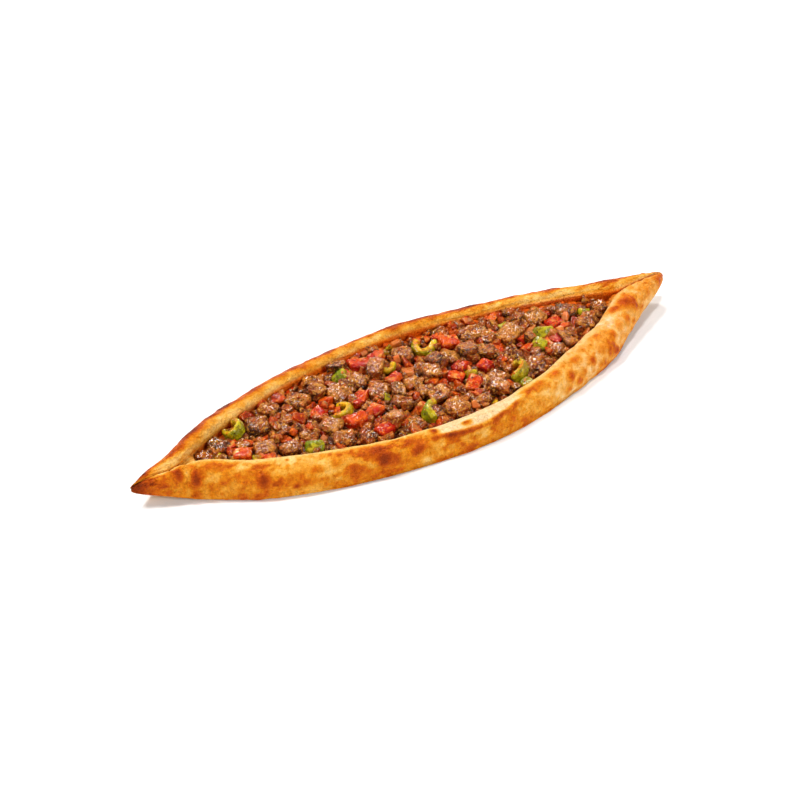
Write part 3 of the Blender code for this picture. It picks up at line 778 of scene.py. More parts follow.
def make_crust():
    """The dough boat: X is along it in mm and B is the band round its section, at every point."""
    grid, u, band = crust_grid()
    n, m = grid.shape[:2]
    is_back, rim_band = side_and_band(band)
    grid[..., 1] += BOAT_SHIFT
    normal = grid_normals(grid).reshape(-1, 3)
    flat = grid.reshape(-1, 3)
    X = flat[:, 0] / MM
    B = np.tile(rim_band, n)
    back = np.tile(is_back, n)
    front = ~back

    slow = layers(flat, 0.034, 11, 2)
    lumpy = layers(flat, 0.011, 21, 2)
    small = layers(flat, 0.0045, 31, 3)
    tiny = layers(flat, 0.0018, 41, 2)
    streaky = layers(flat, (0.018, 0.003, 0.003), 51, 3)

    # Spots.
    dice = random.Random(5)
    sides = []
    for spots, strews, side in ((FRONT_SPOTS, FRONT_STREWN, ~is_back),
                                (BACK_SPOTS, BACK_STREWN, is_back)):
        spots = strewn(spots, strews, dice)
        sides.append(add_spots(spots, grid, u, np.flatnonzero(side), rim_band[side], small))
    sides[1][0] *= BACK_SPOT_STRENGTH
    brown, halo, raised = (np.where(back, on_back, on_front) for on_front, on_back in zip(*sides))

    # Parts of the dough: the right half, the folded lip with its ridge, and the rim's face.
    outside = ease((B + 0.5) / 1.5)
    right = step(X, 50, 110)
    ridge_band = 4.65 + 1.6 * ((X - 10) / 45) ** 2
    folded = step(X, -22, -14) * step(X, 56, 38) * front
    facet = folded * step(B, ridge_band + 0.1, ridge_band + 0.55) * step(B, 10.4, 9.9)
    rim_side = step(B, 0.2, 2) * step(B, 10.5, 8.5)

    # Relief in metres: lumps and blisters, the fold, the pinched tip, creases and the back seam.
    height = outside * (0.0006 * slow + (0.00035 + 0.0002 * right) * lumpy * (1 - 0.6 * facet))
    height += outside * (0.00010 + 0.00008 * right) * small + 0.00004 * tiny
    height += 1.5 * raised * outside * (1 - 0.7 * facet)
    height += folded * (0.0009 * groove(B, ridge_band, 0.35) - 0.0006 * groove(B, ridge_band - 0.8, 0.4)
                        - 0.0005 * groove(B, ridge_band + 0.9, 0.5))
    lean = X + 1.2 * (B - 4) + 1.5 * lumpy
    tip_fold = front * rim_side
    height -= tip_fold * (0.0008 * groove(lean, -178, 1.6) + 0.0006 * groove(lean, -168, 1.3))
    height += tip_fold * 0.0006 * groove(lean, -173, 3.0)
    height += 0.00025 * streaky * step(np.abs(X), 150, 185) * outside
    creases = step(layers(flat, (0.013, 0.0018, 0.0018), 91, 3), 0.15, 0.6)
    creases *= step(np.abs(X), 128, 165) * (back + front * step(np.abs(X), 185, 197)) * step(B, 2, 4)
    height -= 0.0004 * creases
    height += 0.0003 * back * streaky * step(B, 7, 9)
    seam = back * step(X, 20, 60) * step(X, 172, 158) * groove(B, 8.7 + 0.3 * lumpy, 0.35)
    height -= 0.0004 * seam
    points = flat + normal * height[:, None]

    # How far each place is baked, from 0 (pale) to 1 (dark), with painted shade and a painted highlight
    # laid in below.
    wide = front * step(X, -95, -60) * step(X, 12, -22)
    brown = brown * (1 - 0.95 * facet)
    amount = 0.45 + 0.04 * wide - 0.17 * right * front * rim_side - 0.08 * right * back
    calm = 1 - 0.35 * back - 0.35 * front * (1 - right) * (1 - wide)
    amount += calm * (0.15 * slow + 0.18 * lumpy) + 0.10 * small + 0.06 * tiny
    cream = step(layers(flat, (0.016, 0.009, 0.009), 61, 4, 0.6), 0.10, 0.45)
    amount += front * (0.07 - (0.20 - 0.09 * right) * cream * step(B, 1.5, 4))
    amount += right * front * 0.08 * small
    amount -= 0.05 * step(B, 4.5, 2.0) * outside * front * (1 - right)
    amount -= 0.22 * front * groove(X, -111, 17)
    amount += (0.05 + 0.03 * step(X, -60, -120)) * front * (1 - right)
    amount += 0.11 * back - 0.02 * front * right
    crown = back * step(B, 7.0, 5.8) * step(B, 3.4, 5.2)
    amount += crown * (0.18 + 0.12 * lumpy + 0.14 * slow) - 0.08 * back * step(B, 4.6, 3.0)
    amount -= back * step(B, 6.2, 7.4) * 0.16
    amount += back * 0.10 * streaky + 0.16 * creases
    tip = step(np.abs(X), 182, 208) * np.where(X < 0, 1, 0.5)
    amount += tip * (0.04 + 0.14 * streaky) + 0.32 * step(X, -192, -209) + 0.2 * step(X, 203, 210)
    amount += tip_fold * 0.16 * (groove(lean, -178, 2.4) + groove(lean, -168, 2.0))
    amount = np.maximum(amount, 0.30) + np.minimum(amount - 0.30, 0) * 0.8
    amount -= 0.07 * right * halo * front
    amount = amount * (1 - 0.95 * facet) + 0.05 * facet * (1 + streaky)
    brown = brown * (1 - 0.14 * right * front)
    amount += brown * np.clip(0.96 - amount, 0, 1) * 0.86
    amount += 0.22 * seam
    # Painted shadow: a dark line along the ridge under the fold's pale face.
    ridge_shadow = groove(B, ridge_band - 0.15 + 0.2 * small, 0.40) * step(X, -40, -24) * step(X, 66, 45)
    ridge_shadow *= front * (0.75 + 0.4 * lumpy - 0.35 * groove(X, 30, 8))
    away = ((X - FOLD_SPOT[0]) / 3.4) ** 2 + ((B - FOLD_SPOT[1]) / 0.55) ** 2
    blister = np.exp(-away * (1 + 0.4 * small))
    amount += 0.30 * ridge_shadow + 0.66 * blister * front + 0.2 * groove(X, -20, 3) * front * step(B, 5, 6.5)
    # Painted highlight: a pale line along the front rim's top edge as seen; on the back rim the lip is
    # pale dough.
    front_lip_highlight = 0.85 * step(B + 0.5 * lumpy, 6.4, 7.8) * (1 - 0.6 * brown) * step(np.abs(X), 203, 188)
    lip = np.where(back, (0.35 + 0.2 * step(X, -50, -100)) * groove(B, 8.8 + 0.3 * lumpy, 1.1),
                   front_lip_highlight)
    lip *= 1 - 0.45 * step(X, 118, 145) * front
    amount = amount * (1 - lip) + 0.13 * lip
    # Painted shade: a dark line in the crease where the front and back rims meet near the tips.
    amount += (0.4 + 0.35 * step(X, -162, -178)) * groove(B, 10.6, 0.7) * step(np.abs(X), 162, 178)
    # Colours: baked dough, the fold's pale cut face, oil on the inside and flour underneath.
    tint = baked(np.clip(amount, 0, 1))
    reddish = np.outer(0.06 + 0.16 * brown, [0, 1, 0]) - np.array([0, 0, 0.10])
    tint = tint * (1 - (right * front)[:, None] * reddish)
    tint = mix(tint, rgb(250, 216, 170), 0.7 * facet * step(amount, 0.3, 0.12))
    inner = step(B, 9.9, 11) * step(np.abs(X), 168, 148)
    tint = mix(tint, GREASY, 0.9 * inner)
    wet = back * step(B, 8.3, 9.8) * step(X, -130, -70)
    tint = mix(tint, GREASY, 0.75 * wet)
    under = step(B, 0.6, -0.4)
    bottom = mix(FLOURY, baked(UNDERSIDE_BAKED)[0], step(slow + 0.6 * small, -0.1, 0.9))
    tint = mix(tint, bottom, 0.9 * under)
    oil = np.clip(inner + 0.6 * wet, 0, 1)

    poles = np.array([points[k * m:(k + 1) * m].mean(axis=0) for k in (0, n - 1)])
    points = fit_to_box(np.concatenate([points, poles]), CRUST_LOW, CRUST_HIGH)
    faces, uv = closed_skin(n, m, SKIN_ROWS)
    paint = {"tint": np.concatenate([tint, [tint[0], tint[-1]]]), "oil": np.concatenate([oil, [0, 0]])}
    crust = make_piece("dough_boat", points, faces, crust_material(), uv, paint, "crust")
    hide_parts("crust")


# ---- The filling ----

# The darkest and lightest meat colours also serve as painted shade on the meat's sides and cracks and
# as painted light on its tops.
DARK_MEAT_AND_SHADE = rgb(76, 28, 2)
MEAT = rgb(156, 70, 8)
LIGHT_MEAT_AND_LIT_TOP = rgb(214, 136, 44)
SAUCE = rgb(216, 86, 8)
# Deep sauce, dark enough to serve also as painted shade in the gaps between pieces.
DEEP_SAUCE_AND_GAP_SHADE = rgb(92, 26, 6)
RED = rgb(178, 18, 0)
DEEP_RED = rgb(150, 14, 3)
ORANGE_RED = rgb(200, 58, 0)
PALE_RED = rgb(218, 98, 14)
SKIN_GREEN = rgb(116, 132, 2)
DARK_GREEN = rgb(80, 80, 6)
FLESH_GREEN = rgb(178, 154, 4)
FLESH_YELLOW = rgb(228, 160, 10)
ONION = rgb(236, 190, 92)

# How much lighter or darker single pieces are than the rest.
MEAT_TONE = {1: -0.35, 2: -0.2, 9: 0.2, 12: -0.4, 13: 0.2, 16: 0.1, 18: 0.25, 20: 0.3, 22: 0.35,
             25: 0.05, 26: -0.3, 27: -0.35, 28: 0.3, 29: 0.2, 31: -0.25, 33: -0.1}
TOMATO_TONE = {1: 0.35, 9: -0.3, 10: 0.3, 11: 0.4, 3: 0.2}
# Green pepper, as the CAD has it: outer radius, wall and height of the slice in mm, then where the
# arc starts, how far it runs, how far the slice leans and which way, in degrees; last how yellow.
PEPPER = (
    (7, 3.8, 8.5, 130, 300, 30, 150, 0.45), (6.5, 4.6, 8, 165, 140, 50, 60, 0.2),
    (7, 5, 10, 95, 115, 35, -30, 0.05), (7.5, 3.8, 6.5, 190, 260, 22, 150, 0.9),
    (7.5, 4, 6.5, 160, 170, 28, 240, 0.75), (9, 5, 8, 55, 200, 32, -30, 0.25),
    (8.6, 5, 6.5, 112, 250, 12, 240, 0.7), (8.5, 4.2, 7.5, -140, 230, 32, 150, 0.45),
    (10, 4.6, 7.5, 195, 90, 45, 60, 0.35), (7, 5, 9, 160, 95, 40, 20, 0.65),
    (5, 4, 5.5, 175, 125, 30, 60, 0.7), (5, 4, 6, 170, 125, 35, 60, 1.0),
)
# Smaller or half-hidden pieces among the nodes: x, y, length and width in mm, then how light.
LOOSE_MEAT = (
    (-155, 2, 11, 8, -0.3), (-146, -5, 8, 6, 0.3), (-129, 0, 9, 8, 0), (-61, 20, 10, 12, 0),
    (-37, 35, 10, 11, -0.35), (-17, 18, 12, 11, 0), (-14, -6, 9, 12, 0), (-33, -32, 12, 13, 0.1),
    (-41, -11, 12, 7, 0), (-5, -41, 9, 12, -0.35), (6, -26, 13, 11, 0), (14, -3, 13, 12, 0),
    (24, 5, 12, 13, -0.3), (47, 3, 13, 12, -0.1), (48, -4, 9, 8, 0), (58, -3, 13, 11, 0),
    (43, -42, 12, 10, 0), (20, -37, 10, 8, 0), (95, 16, 9, 11, -0.3), (113, -22, 13, 11, 0),
    (122, 12, 10, 8, -0.1), (-84, 30, 10, 9, 0.1), (-100, 4, 9, 8, -0.1),
    (68, 8, 10, 9, -0.1), (-5, 42, 9, 8, -0.1), (92, -8, 9, 8, 0.1), (-62, -46, 9, 7, 0),
)
LOOSE_TOMATO = (
    (-90, -8, 12, 6, 0.6), (-104, -8, 7, 5, 0.3), (-75, 33, 12, 5, 0), (-39, 1, 10, 10, 0.1),
    (-35, 26, 8, 11, 0.2), (0, 3, 7, 6, 0), (-23, -33, 8, 6, 0.6), (-10, -30, 9, 6, 0.6),
    (-5, -52, 13, 5, -0.1), (17, 13, 11, 8, 0.1), (26, -16, 10, 11, 0.1), (33, -54, 12, 5, -0.1),
    (40, 27, 11, 8, 0.2), (72, 13, 12, 9, 0.2), (68, -8, 10, 6, -0.4), (85, -14, 9, 7, 0.1),
    (98, -20, 9, 8, 0.1), (106, -18, 9, 8, -0.4), (119, -13, 12, 9, 0.1), (88, 17, 8, 6, 0.3),
    (20, -27, 11, 8, 0.9), (80, 27, 10, 6, 0.5), (100, 22, 10, 6, 0.4), (-20, 10, 7, 6, 0.1),
    (-80, 4, 7, 6, 0.3), (127, 2, 8, 7, 0.1), (-112, 24, 8, 5, 0.4), (84, 26, 9, 6, 0.9),
    (101, 22, 11, 4, 1.0), (119, 17, 10, 4, 1.0), (35, 36, 10, 5, 0.9), (57, 32, 10, 5, 0.8),
    (146, 7, 8, 4, 0.9), (8, 39, 9, 5, 0.6),
)
LOOSE_PEPPER = (
    (-90, 14, 6, 2.5, 0.6), (-83, -37, 9, 5, 0.1), (-24, -9, 7, 5, 0.5),
    (19, -6, 5, 11, 0.7), (59, 4, 7, 5, 0.9), (64, -44, 11, 7, 0.5), (83, 13, 9, 7, 0.2),
    (91, 14, 6, 5, 0.9), (-147, -14, 8, 5, 0.3), (-30, -51, 9, 5, 0.2), (4, 34, 7, 4, 0.7),
)
CORE_TOP = 0.0106
CORE_GRID = (430, 100, 4)           # points along, across the top, and across the underside


def meat_skin(points, quads, seed, tone):
    """The crumbly surface and the colours of a piece of cooked meat, with painted light: lighter on top
    and darker on the sides.
    """
    p = points + 0.37 * seed
    turn = random_turn(random.Random(seed), 1.2)
    normal = vertex_normals(points, quads)
    top = step(normal[:, 2], 0.15, 0.80)
    lumps = layers(p, 0.0075, seed, 2)
    first, second, number = grains(p + 0.0009 * lumps[:, None], 0.0036, seed + 5)
    fibre = layers(p @ turn, (0.007, 0.0016, 0.0016), seed + 9, 2)
    pits = step(layers(p, 0.0042, seed + 13, 2), 0.45, 0.85)
    height = 0.0005 * lumps + 0.0006 * (0.5 - first) + 0.0003 * fibre - 0.0007 * pits
    # Painted light and shade: upward faces lighter, side faces darker, on top of random tone.
    light = 0.0 + 0.70 * top + 0.30 * lumps + 0.4 * (number - 0.5) + 0.28 * fibre + tone
    tint = mix(DARK_MEAT_AND_SHADE, MEAT, step(light, -0.10, 0.50))
    tint = mix(tint, LIGHT_MEAT_AND_LIT_TOP, step(light, 0.45, 1.05))
    # Painted shade: cracks between grains and sunken pits are darker.
    crack_shade = step(second - first, 0.14, 0.0)
    tint = mix(tint, DARK_MEAT_AND_SHADE * 0.6, np.clip(0.3 * crack_shade + 0.5 * pits, 0, 1))
    stain = step(layers(p, 0.008, seed + 17, 3), -0.15, 0.6)
    tint = mix(tint, SAUCE, (0.45 - 0.25 * top) * stain)
    return points + normal * height[:, None], tint


def tomato_skin(points, quads, seed, tone):
    """The soft wet surface of a piece of baked tomato; tone goes from deep red to orange, and its top
    is painted lighter and more orange as painted light.
    """
    p = points + 0.53 * seed
    normal = vertex_normals(points, quads)
    top = step(normal[:, 2], 0.1, 0.85)
    lumps = layers(p, 0.0070, seed, 3)
    wrinkles = np.abs(layers(p, 0.0034, seed + 5, 2))
    height = 0.0005 * lumps - 0.0006 * wrinkles
    patch = layers(p, 0.0055, seed + 9, 3)
    # Painted light and shade: upward faces warmer and lighter, side faces deeper red, on top of random
    # patches.
    warmth_and_top_light = 0.12 + 0.40 * top + 0.6 * patch + tone
    tint = mix(DEEP_RED, RED, step(warmth_and_top_light, -0.3, 0.25))
    tint = mix(tint, ORANGE_RED, step(warmth_and_top_light, 0.2, 0.8))
    tint = mix(tint, PALE_RED, 0.6 * step(warmth_and_top_light + 0.3 * lumps, 0.65, 1.3))
    seeds = step(layers(p, 0.0042, seed + 15, 2), 0.35, 0.6)
    tint = mix(tint, ONION, 0.6 * seeds * top * np.clip(0.6 + tone, 0, 1))
    tint = mix(tint, DEEP_RED, 0.5 * step(wrinkles, 0.22, 0.0))
    return points + normal * height[:, None], tint


def pepper_skin(points, quads, seed, yellow, skin):
    """Glossy green skin where skin is 1, softer yellow-green flesh elsewhere."""
    p = points + 0.71 * seed
    normal = vertex_normals(points, quads)
    lumps = layers(p, 0.0050, seed, 2)
    height = 0.0004 * lumps + 0.00012 * layers(p, 0.0018, seed + 3, 2) * (1 - skin)
    shade = 0.5 + 0.6 * layers(p, 0.006, seed + 7, 2)
    flesh = mix(FLESH_GREEN, FLESH_YELLOW, np.clip(yellow + 0.6 * (shade - 0.5), 0, 1))
    green = mix(SKIN_GREEN, mix(DARK_GREEN, FLESH_GREEN, yellow), step(shade, 0.35, 1.1) * 0.7)
    tint = mix(flesh, green, skin * (1 - 0.45 * yellow))
    stain = step(layers(p, 0.006, seed + 11, 2), 0.0, 0.7)
    tint = mix(tint, SAUCE, (0.6 - 0.4 * skin) * stain)
    return points + normal * height[:, None], tint


def pepper_arc(radius, wall, tall, start, sweep, lean, heading, seed):
    """A slice of pepper wall along an arc; skin is 1 on its outside."""
    steps = max(10, round(sweep / 4))
    around = 40
    angle = np.radians(start + sweep * np.linspace(0, 1, steps + 1))
    turn = np.linspace(0, 2 * math.pi, around, endpoint=False)
    across, rise = np.cos(turn), np.sin(turn)
    across = np.sign(across) * np.abs(across) ** 0.6
    rise = np.sign(rise) * np.abs(rise) ** 0.7
    end = np.sqrt(np.clip(1 - np.abs(np.linspace(-1, 1, steps + 1)) ** 12, 0.04, 1))
    outer = radius * MM * (1 + 0.10 * np.sin(2 * angle + seed))
    bulge = 0.0004 * np.sin(3.0 * angle + seed) ** 2
    middle = outer - wall * MM / 2 - bulge / 2
    r = middle[:, None] + across * ((wall * MM + bulge) / 2 * end)[:, None]
    z = rise * (tall * MM / 2 * end)[:, None]
    points = np.stack([r * np.cos(angle)[:, None], r * np.sin(angle)[:, None], z], axis=2)
    skin = np.broadcast_to(step(across, 0.2, 0.85), (steps + 1, around)).ravel()
    poles = points[[0, -1]].mean(axis=1)
    points = np.concatenate([points.reshape(-1, 3), poles])
    way, tip_over = math.radians(heading), math.radians(lean)
    axis = np.array([-math.sin(way), math.cos(way), 0])
    points = (points * math.cos(tip_over) + np.cross(axis, points) * math.sin(tip_over)
              + np.outer(points @ axis, axis) * (1 - math.cos(tip_over)))
    faces, uv = closed_skin(steps + 1, around, rows=1)
    return points, faces, uv, np.append(skin, [0, 0])


class Ground:
    """What loose bits are dropped on to: every solid made so far."""

    def __init__(self):
        self.points, self.faces, self.count = [], [], 0

    def add(self, points, quads):
        self.points.extend(points.tolist())
        self.faces.extend((quads + self.count).tolist())
        self.count += len(points)

    def settle(self):
        self.tree = BVHTree.FromPolygons(self.points, self.faces)

    def drop(self, x, y):
        """Height and facing of whatever lies highest at x, y."""
        place, facing, _, _ = self.tree.ray_cast(Vector((x, y, 0.05)), Vector((0, 0, -1)))
        return place, facing


def make_core(ground):
    """The loose bottom of the filling: fine chopped bits in oily sauce, in relief."""
    low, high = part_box("filling_bed")
    n, m, base = CORE_GRID
    x = np.linspace(low.x, high.x, n)
    u = 2 * x / LENGTH
    edges = []
    for back, side in ((False, -1), (True, 1)):
        outer, inner = outer_half_width(u, back), inner_half_width(u, back)
        edge = middle_y(u) + side * (inner + 0.04 * (outer - inner) + 0.0006) + BOAT_SHIFT
        edges.append(edge[:, None])
    v = np.linspace(0, 1, m)
    y = edges[0] * (1 - v) + edges[1] * v
    floor = floor_height(u)[:, None]
    p = np.stack([np.broadcast_to(x[:, None], y.shape), y, np.zeros_like(y)], axis=2).reshape(-1, 3)
    swell = layers(p, 0.016, 71, 3)
    first, _, number = grains(p, 0.0042, 72)
    fine, _, fine_number = grains(p, 0.0018, 75)
    relief = 0.0008 * swell + 0.0018 * (0.5 - first) + 0.0005 * (0.5 - fine)
    from_wall = np.minimum(v, 1.12 - v) * (edges[1] - edges[0])
    from_back = (1 - v) * (edges[1] - edges[0])
    sag = 0.0018 * step(from_wall, 0.010, 0.001).ravel()
    heaped = 0.0022 * step(from_back, 0.014, 0.004) * step(x, 0.02, 0.09)[:, None]
    z = np.maximum(CORE_TOP + relief - sag + heaped.ravel(), (floor + 0.0008 + 0 * y).ravel())
    z = np.minimum(z, high.z)
    top = p + np.stack([0 * z, 0 * z, z], axis=1)
    under = np.linspace(0.98, 0.02, base)
    y_low = edges[0] * (1 - under) + edges[1] * under
    low_points = np.stack([np.broadcast_to(x[:, None], y_low.shape), y_low,
                           np.broadcast_to(floor - 0.0004, y_low.shape)], axis=2)
    rings = np.concatenate([top.reshape(n, m, 3), low_points], axis=1)

    # The filling's bottom shows only in the gaps; its deep sauce colour is partly painted shade there.
    tint = mix(DEEP_SAUCE_AND_GAP_SHADE, DARK_MEAT_AND_SHADE, step(swell, -0.5, 0.6))
    tint = mix(tint, MEAT, 0.75 * step(0.62 - first + 0.3 * (number - 0.5), 0.0, 0.45))
    tint = mix(tint, SAUCE, 0.8 * step(number, 0.62, 0.72) * step(first, 0.7, 0.3))
    tint = mix(tint, RED, 0.7 * step(number, 0.84, 0.9) * step(first, 0.7, 0.3))
    tint = mix(tint, FLESH_YELLOW, 0.5 * step(fine_number, 0.93, 0.96) * step(fine, 0.6, 0.3))
    tint = mix(tint, SAUCE, 0.7 * step(from_wall, 0.007, 0.001).ravel())
    tint = mix(tint, GREASY, 0.8 * step(from_back, 0.011, 0.003).ravel())
    tint = np.concatenate([tint.reshape(n, m, 3), np.broadcast_to(DEEP_SAUCE_AND_GAP_SHADE, (n, base, 3))], axis=1)
    points = np.concatenate([rings[:, ::-1].reshape(-1, 3), rings[[0, -1]].mean(axis=1)])
    tint = np.concatenate([tint[:, ::-1].reshape(-1, 3), [DEEP_SAUCE_AND_GAP_SHADE, DEEP_SAUCE_AND_GAP_SHADE]])
    faces, uv = closed_skin(n, m + base, SKIN_ROWS)
    core = make_piece("filling_core", points, faces, core_material(), uv, {"tint": tint}, "sauce")
    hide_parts("filling_bed")
    ground.add(points, faces[0])


# The dice of a kind: skin, tones of single pieces, spread of the rest, cuts, swell and first seed.
DICED = {
    "meat": (meat_skin, MEAT_TONE, (-0.12, 0.12), 24, 1.06, 100),
    "tomato": (tomato_skin, TOMATO_TONE, (-0.15, 0.2), 18, 1.05, 200),
}
DICED_SHARPNESS = 36
PEPPER_SEED = 300


def make_nodes(ground, materials):
    """The larger pieces of meat, tomato and pepper, each in the place of its CAD node."""
    dice = random.Random(31)
    for name in sorted(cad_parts):
        kind, _, number = name.partition("_")
        if kind in DICED:
            number = int(number)
            skin, tones, spread, cuts, swell, seed = DICED[kind]
            tone = tones.get(number, 0) + dice.uniform(*spread)
            points, quads, uv = node_block(name, cuts, DICED_SHARPNESS, swell)
            points, tint = skin(points, quads, seed + number, tone)
            faces = [quads]
        elif kind == "pepper":
            number = int(number)
            *shape, yellow = PEPPER[number - 1]
            points, faces, uv, skin = pepper_arc(*shape, number)
            points = fit_to_box(points, *box_of(name))
            points, tint = pepper_skin(points, faces[0], PEPPER_SEED + number, yellow, skin)
        else:
            continue
        piece = make_piece(name + "_baked", points, faces, materials[kind], uv, {"tint": tint}, kind)
        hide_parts(name)
        ground.add(points, faces[0])


SHARPNESS = {"meat": 28, "tomato": 26, "pepper": 9, "onion": 8}
BIT_HALF_SIZE = 0.0045              # smaller pieces are bits, softened by the sauce
BIT_SHAPE = (24, 0.42, 0.7)         # sharpness, unevenness and tilt
BIT_SPACING = 0.0054
BIT_KINDS = ["meat"] * 11 + ["tomato"] * 6 + ["pepper"] + ["onion"] * 2
BIT_TONES = {"meat": (-0.3, 0.3), "tomato": (-0.2, 0.45), "pepper": (0.3, 1.0), "onion": (0, 1)}
GAP_HEIGHT = 0.0138                 # what lies lower is a gap between larger pieces
CRUMBS = 600
CRUMB_KINDS = ("onion", "onion", "meat", "meat", "meat", "tomato")
FLAKES = 330


def loose_height(width):
    return min(max(0.8 * width, 4.5), 10.5)


class Loose:
    """Heaps of smaller pieces of each kind, placed with one run of random numbers."""

    def __init__(self, seed):
        self.dice = random.Random(seed)
        self.heaps = {kind: Heap() for kind in SHARPNESS}

    def add(self, kind, place, half, cuts, tone, mush=0.5):
        seed = self.dice.randrange(1, 900)
        small = max(half) < BIT_HALF_SIZE
        shape = BIT_SHAPE if small else (SHARPNESS[kind],)
        points, quads, uv = random_block(self.dice, half, cuts, *shape)
        if kind == "pepper":
            skin = step(points[:, 2] + points[:, 1], 0, 0.0012)
            points, tint = pepper_skin(points, quads, seed, tone, skin)
        elif kind == "onion":
            stain = 0.35 + 0.3 * step(layers(points, 0.003, seed, 2), -0.3, 0.7) + 0.4 * tone
            tint = mix(ONION, SAUCE, stain)
        else:
            points, tint = DICED[kind][0](points, quads, seed, tone)
        points = points + np.array(place)
        if small:
            blotch = step(layers(points, 0.006, 83, 2), -0.3, 0.5)
            tint = mix(tint, mix(DEEP_SAUCE_AND_GAP_SHADE, SAUCE, blotch), mush)
            # Painted shade: bits lying low between the larger pieces are darker.
            tint = tint * (0.6 + 0.4 * step(points[:, 2:3], CORE_TOP, 0.0145))
        self.heaps[kind].add(points, quads, uv, tint=tint)
        return points, quads


def place_loose(loose):
    """The smaller and half-hidden pieces between the large ones, each in its given place."""
    for kind, rows, cuts in (("meat", LOOSE_MEAT, 14), ("tomato", LOOSE_TOMATO, 12),
                             ("pepper", LOOSE_PEPPER, 9)):
        for x, y, length, width, tone in rows:
            tall = loose_height(min(length, width)) * (0.75 if kind != "meat" else 1)
            z = CORE_TOP + loose.dice.uniform(-0.002, 0.001) + tall / 2 * MM * 0.75
            half = np.array([length, width, tall]) / 2 * MM
            yield loose.add(kind, (x * MM, y * MM + BOAT_SHIFT, z), half, cuts, tone)


def drop_bits(loose, ground):
    """Small bits of every kind, in rows across the boat, wherever there is a gap."""
    dice = loose.dice
    low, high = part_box("filling_bed")
    x = low.x + 0.004
    while x < high.x - 0.004:
        u = 2 * x / LENGTH
        front = middle_y(u) - inner_half_width(np.array(u), False) + BOAT_SHIFT + 0.0012
        back = middle_y(u) + inner_half_width(np.array(u), True) + BOAT_SHIFT - 0.0012
        y = front + dice.uniform(0, BIT_SPACING)
        while y < back:
            px = x + dice.uniform(-0.4, 0.4) * BIT_SPACING
            place, _ = ground.drop(px, y)
            kind = dice.choice(BIT_KINDS)
            size = dice.uniform(1.5, 3.4)
            if place is not None and place.z < GAP_HEIGHT:
                flat = 0.6 if kind in ("pepper", "onion") else 0.85
                half = np.array([size * dice.uniform(0.8, 1.5), size, size * flat]) * MM
                tone = {key: dice.uniform(*span) for key, span in BIT_TONES.items()}[kind]
                loose.add(kind, (px, y, place.z + half[2] * 0.4), half, 5 if size < 2 else 7, tone)
            y += BIT_SPACING * dice.uniform(0.8, 1.2)
        x += BIT_SPACING


def drop_crumbs(loose, ground):
    """Crumbs anywhere on the filling, fewer of them on top of the larger pieces."""
    dice = loose.dice
    low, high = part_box("filling_bed")
    for _ in range(CRUMBS):
        px, y = dice.uniform(low.x + 0.012, high.x - 0.012), dice.uniform(low.y, high.y)
        place, _ = ground.drop(px, y)
        if place is None or dice.random() < 0.5 * step(place.z, 0.013, 0.016):
            continue
        size = dice.uniform(0.35, 0.95)
        half = np.array([size * dice.uniform(0.8, 2.0), size, size * 0.6]) * MM
        kind = dice.choice(CRUMB_KINDS)
        loose.add(kind, (px, y, place.z + half[2] * 0.2), half, 3, dice.uniform(-0.3, 0.8), 0.35)


def make_loose(ground, materials):
    """Smaller pieces between the large ones, then bits of every kind dropped into the gaps."""
    loose = Loose(47)
    for points, quads in list(place_loose(loose)):
        ground.add(points, quads)
    ground.settle()
    drop_bits(loose, ground)
    drop_crumbs(loose, ground)
    for kind, heap in loose.heaps.items():
        heap.make("loose_" + kind, materials[kind], "sauce" if kind == "onion" else kind)


def make_herbs(ground):
    """Dried herb flakes and coarse spice lying on the filling."""
    dice = random.Random(59)
    heap = Heap()
    low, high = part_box("filling_bed")
    while len(heap.solids) < FLAKES:
        x = dice.uniform(low.x + 0.008, high.x - 0.008)
        y = dice.uniform(low.y, high.y)
        place, facing = ground.drop(x, y)
        if place is None or place.z < 0.009:
            continue
        half = np.array([dice.uniform(0.35, 0.9), dice.uniform(0.2, 0.5), 0.16]) * MM
        points, quads, uv = random_block(dice, half, 2, 5)
        tilt = facing.to_track_quat("Z", "Y").to_matrix()
        points = points @ np.array(tilt).T + np.array(place) + np.array(facing) * 0.00015
        heap.add(points, quads, uv)
    heap.make("herb_flakes", herb_material(), "pepper")


# ---- Camera, light and floor ----

CAMERA_AZIMUTH = math.radians(-32.53)
CAMERA_ELEVATION = math.radians(39)
CAMERA_DISTANCE = 1.6
CAMERA_TARGET = Vector((-0.0165, -0.0056, 0.010))
CAMERA_LENS = 108.93
# Name, where it shines from, angle across in degrees, and strength.
SUNS = (
    ("key", (-0.8, 0.75, 1.55), 14, 2.0), ("fill", (0.5, -1.65, 1.25), 18, 1.36),
    ("glint_behind", (0.6, 1.2, 1.1), 9, 1.45), ("glint_above", (0.25, 0.4, 1.75), 9, 1.15),
)
SKY = 0.20
FLOOR_COLOUR = (0.93, 0.93, 0.93, 1)
FLOOR_RADIUS = 4
FLOOR_BEND = 1.4
FLOOR_SIDES = 64


def make_camera():
    data = bpy.data.cameras.new("camera")
    data.lens = CAMERA_LENS
    data.sensor_width = 36
    camera = link("camera", data)
    back = Vector((math.sin(CAMERA_AZIMUTH) * math.cos(CAMERA_ELEVATION),
                   -math.cos(CAMERA_AZIMUTH) * math.cos(CAMERA_ELEVATION),
                   math.sin(CAMERA_ELEVATION)))
    camera.location = CAMERA_TARGET + back * CAMERA_DISTANCE
    camera.rotation_euler = back.to_track_quat("Z", "Y").to_euler()
    bpy.context.scene.camera = camera


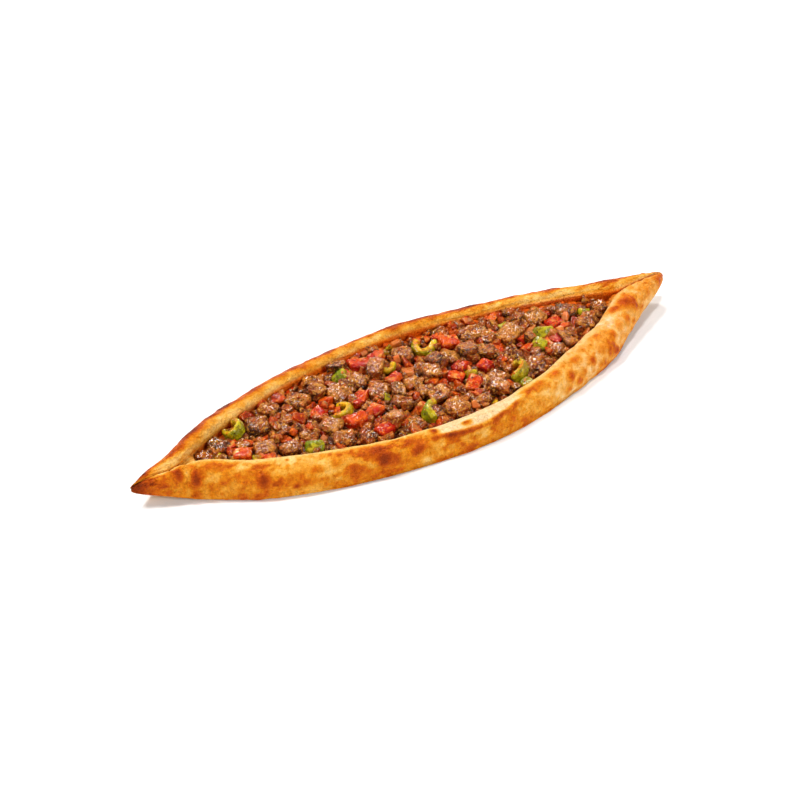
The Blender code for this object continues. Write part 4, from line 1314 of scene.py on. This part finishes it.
def make_floor():
    """A white floor that is flat round the boat and turns up at its edge like a bowl."""
    bend = np.radians(np.arange(0, 91, 10))
    reach = np.concatenate([[0.01, FLOOR_RADIUS / 2], FLOOR_RADIUS + FLOOR_BEND * np.sin(bend)])
    rise = np.concatenate([[0, 0], FLOOR_BEND * (1 - np.cos(bend))])
    turn = np.linspace(0, 2 * math.pi, FLOOR_SIDES, endpoint=False)
    points = [(r * math.cos(t), r * math.sin(t), z) for r, z in zip(reach, rise) for t in turn]
    n = FLOOR_SIDES
    faces = [(k + i, k + (i + 1) % n, k + n + (i + 1) % n, k + n + i)
             for k in range(0, len(points) - n, n) for i in range(n)]
    mesh = bpy.data.meshes.new("floor")
    mesh.from_pydata(points, [], faces + [tuple(range(n))])
    mesh.polygons.foreach_set("use_smooth", [True] * len(mesh.polygons))
    material = bpy.data.materials.new("floor")
    material.use_nodes = True
    shader = material.node_tree.nodes["Principled BSDF"]
    for key, value in (("Base Color", FLOOR_COLOUR), ("Roughness", 0.8), ("Specular IOR Level", 0.1)):
        shader.inputs[key].default_value = value
    mesh.materials.append(material)
    floor = link("floor", mesh)
    floor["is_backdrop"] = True


def make_light():
    world = bpy.data.worlds.new("world")
    world.use_nodes = True
    sky = world.node_tree.nodes["Background"]
    sky.inputs["Color"].default_value = (1, 1, 1, 1)
    sky.inputs["Strength"].default_value = SKY
    bpy.context.scene.world = world
    for name, place, angle, strength in SUNS:
        data = bpy.data.lights.new(name, "SUN")
        data.angle = math.radians(angle)
        data.energy = strength
        light = link(name, data)
        light.location = place
        light.rotation_euler = Vector(place).to_track_quat("Z", "Y").to_euler()
    bpy.context.scene.view_settings.view_transform = "Standard"


make_floor()
make_light()
make_camera()
make_crust()
ground = Ground()
make_core(ground)
materials = {"meat": meat_material(), "tomato": tomato_material(), "pepper": pepper_material(),
             "onion": onion_material()}
make_nodes(ground, materials)
make_loose(ground, materials)
make_herbs(ground)

[[list(corner) for corner in box] for box in (CAD_BOX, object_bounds())]
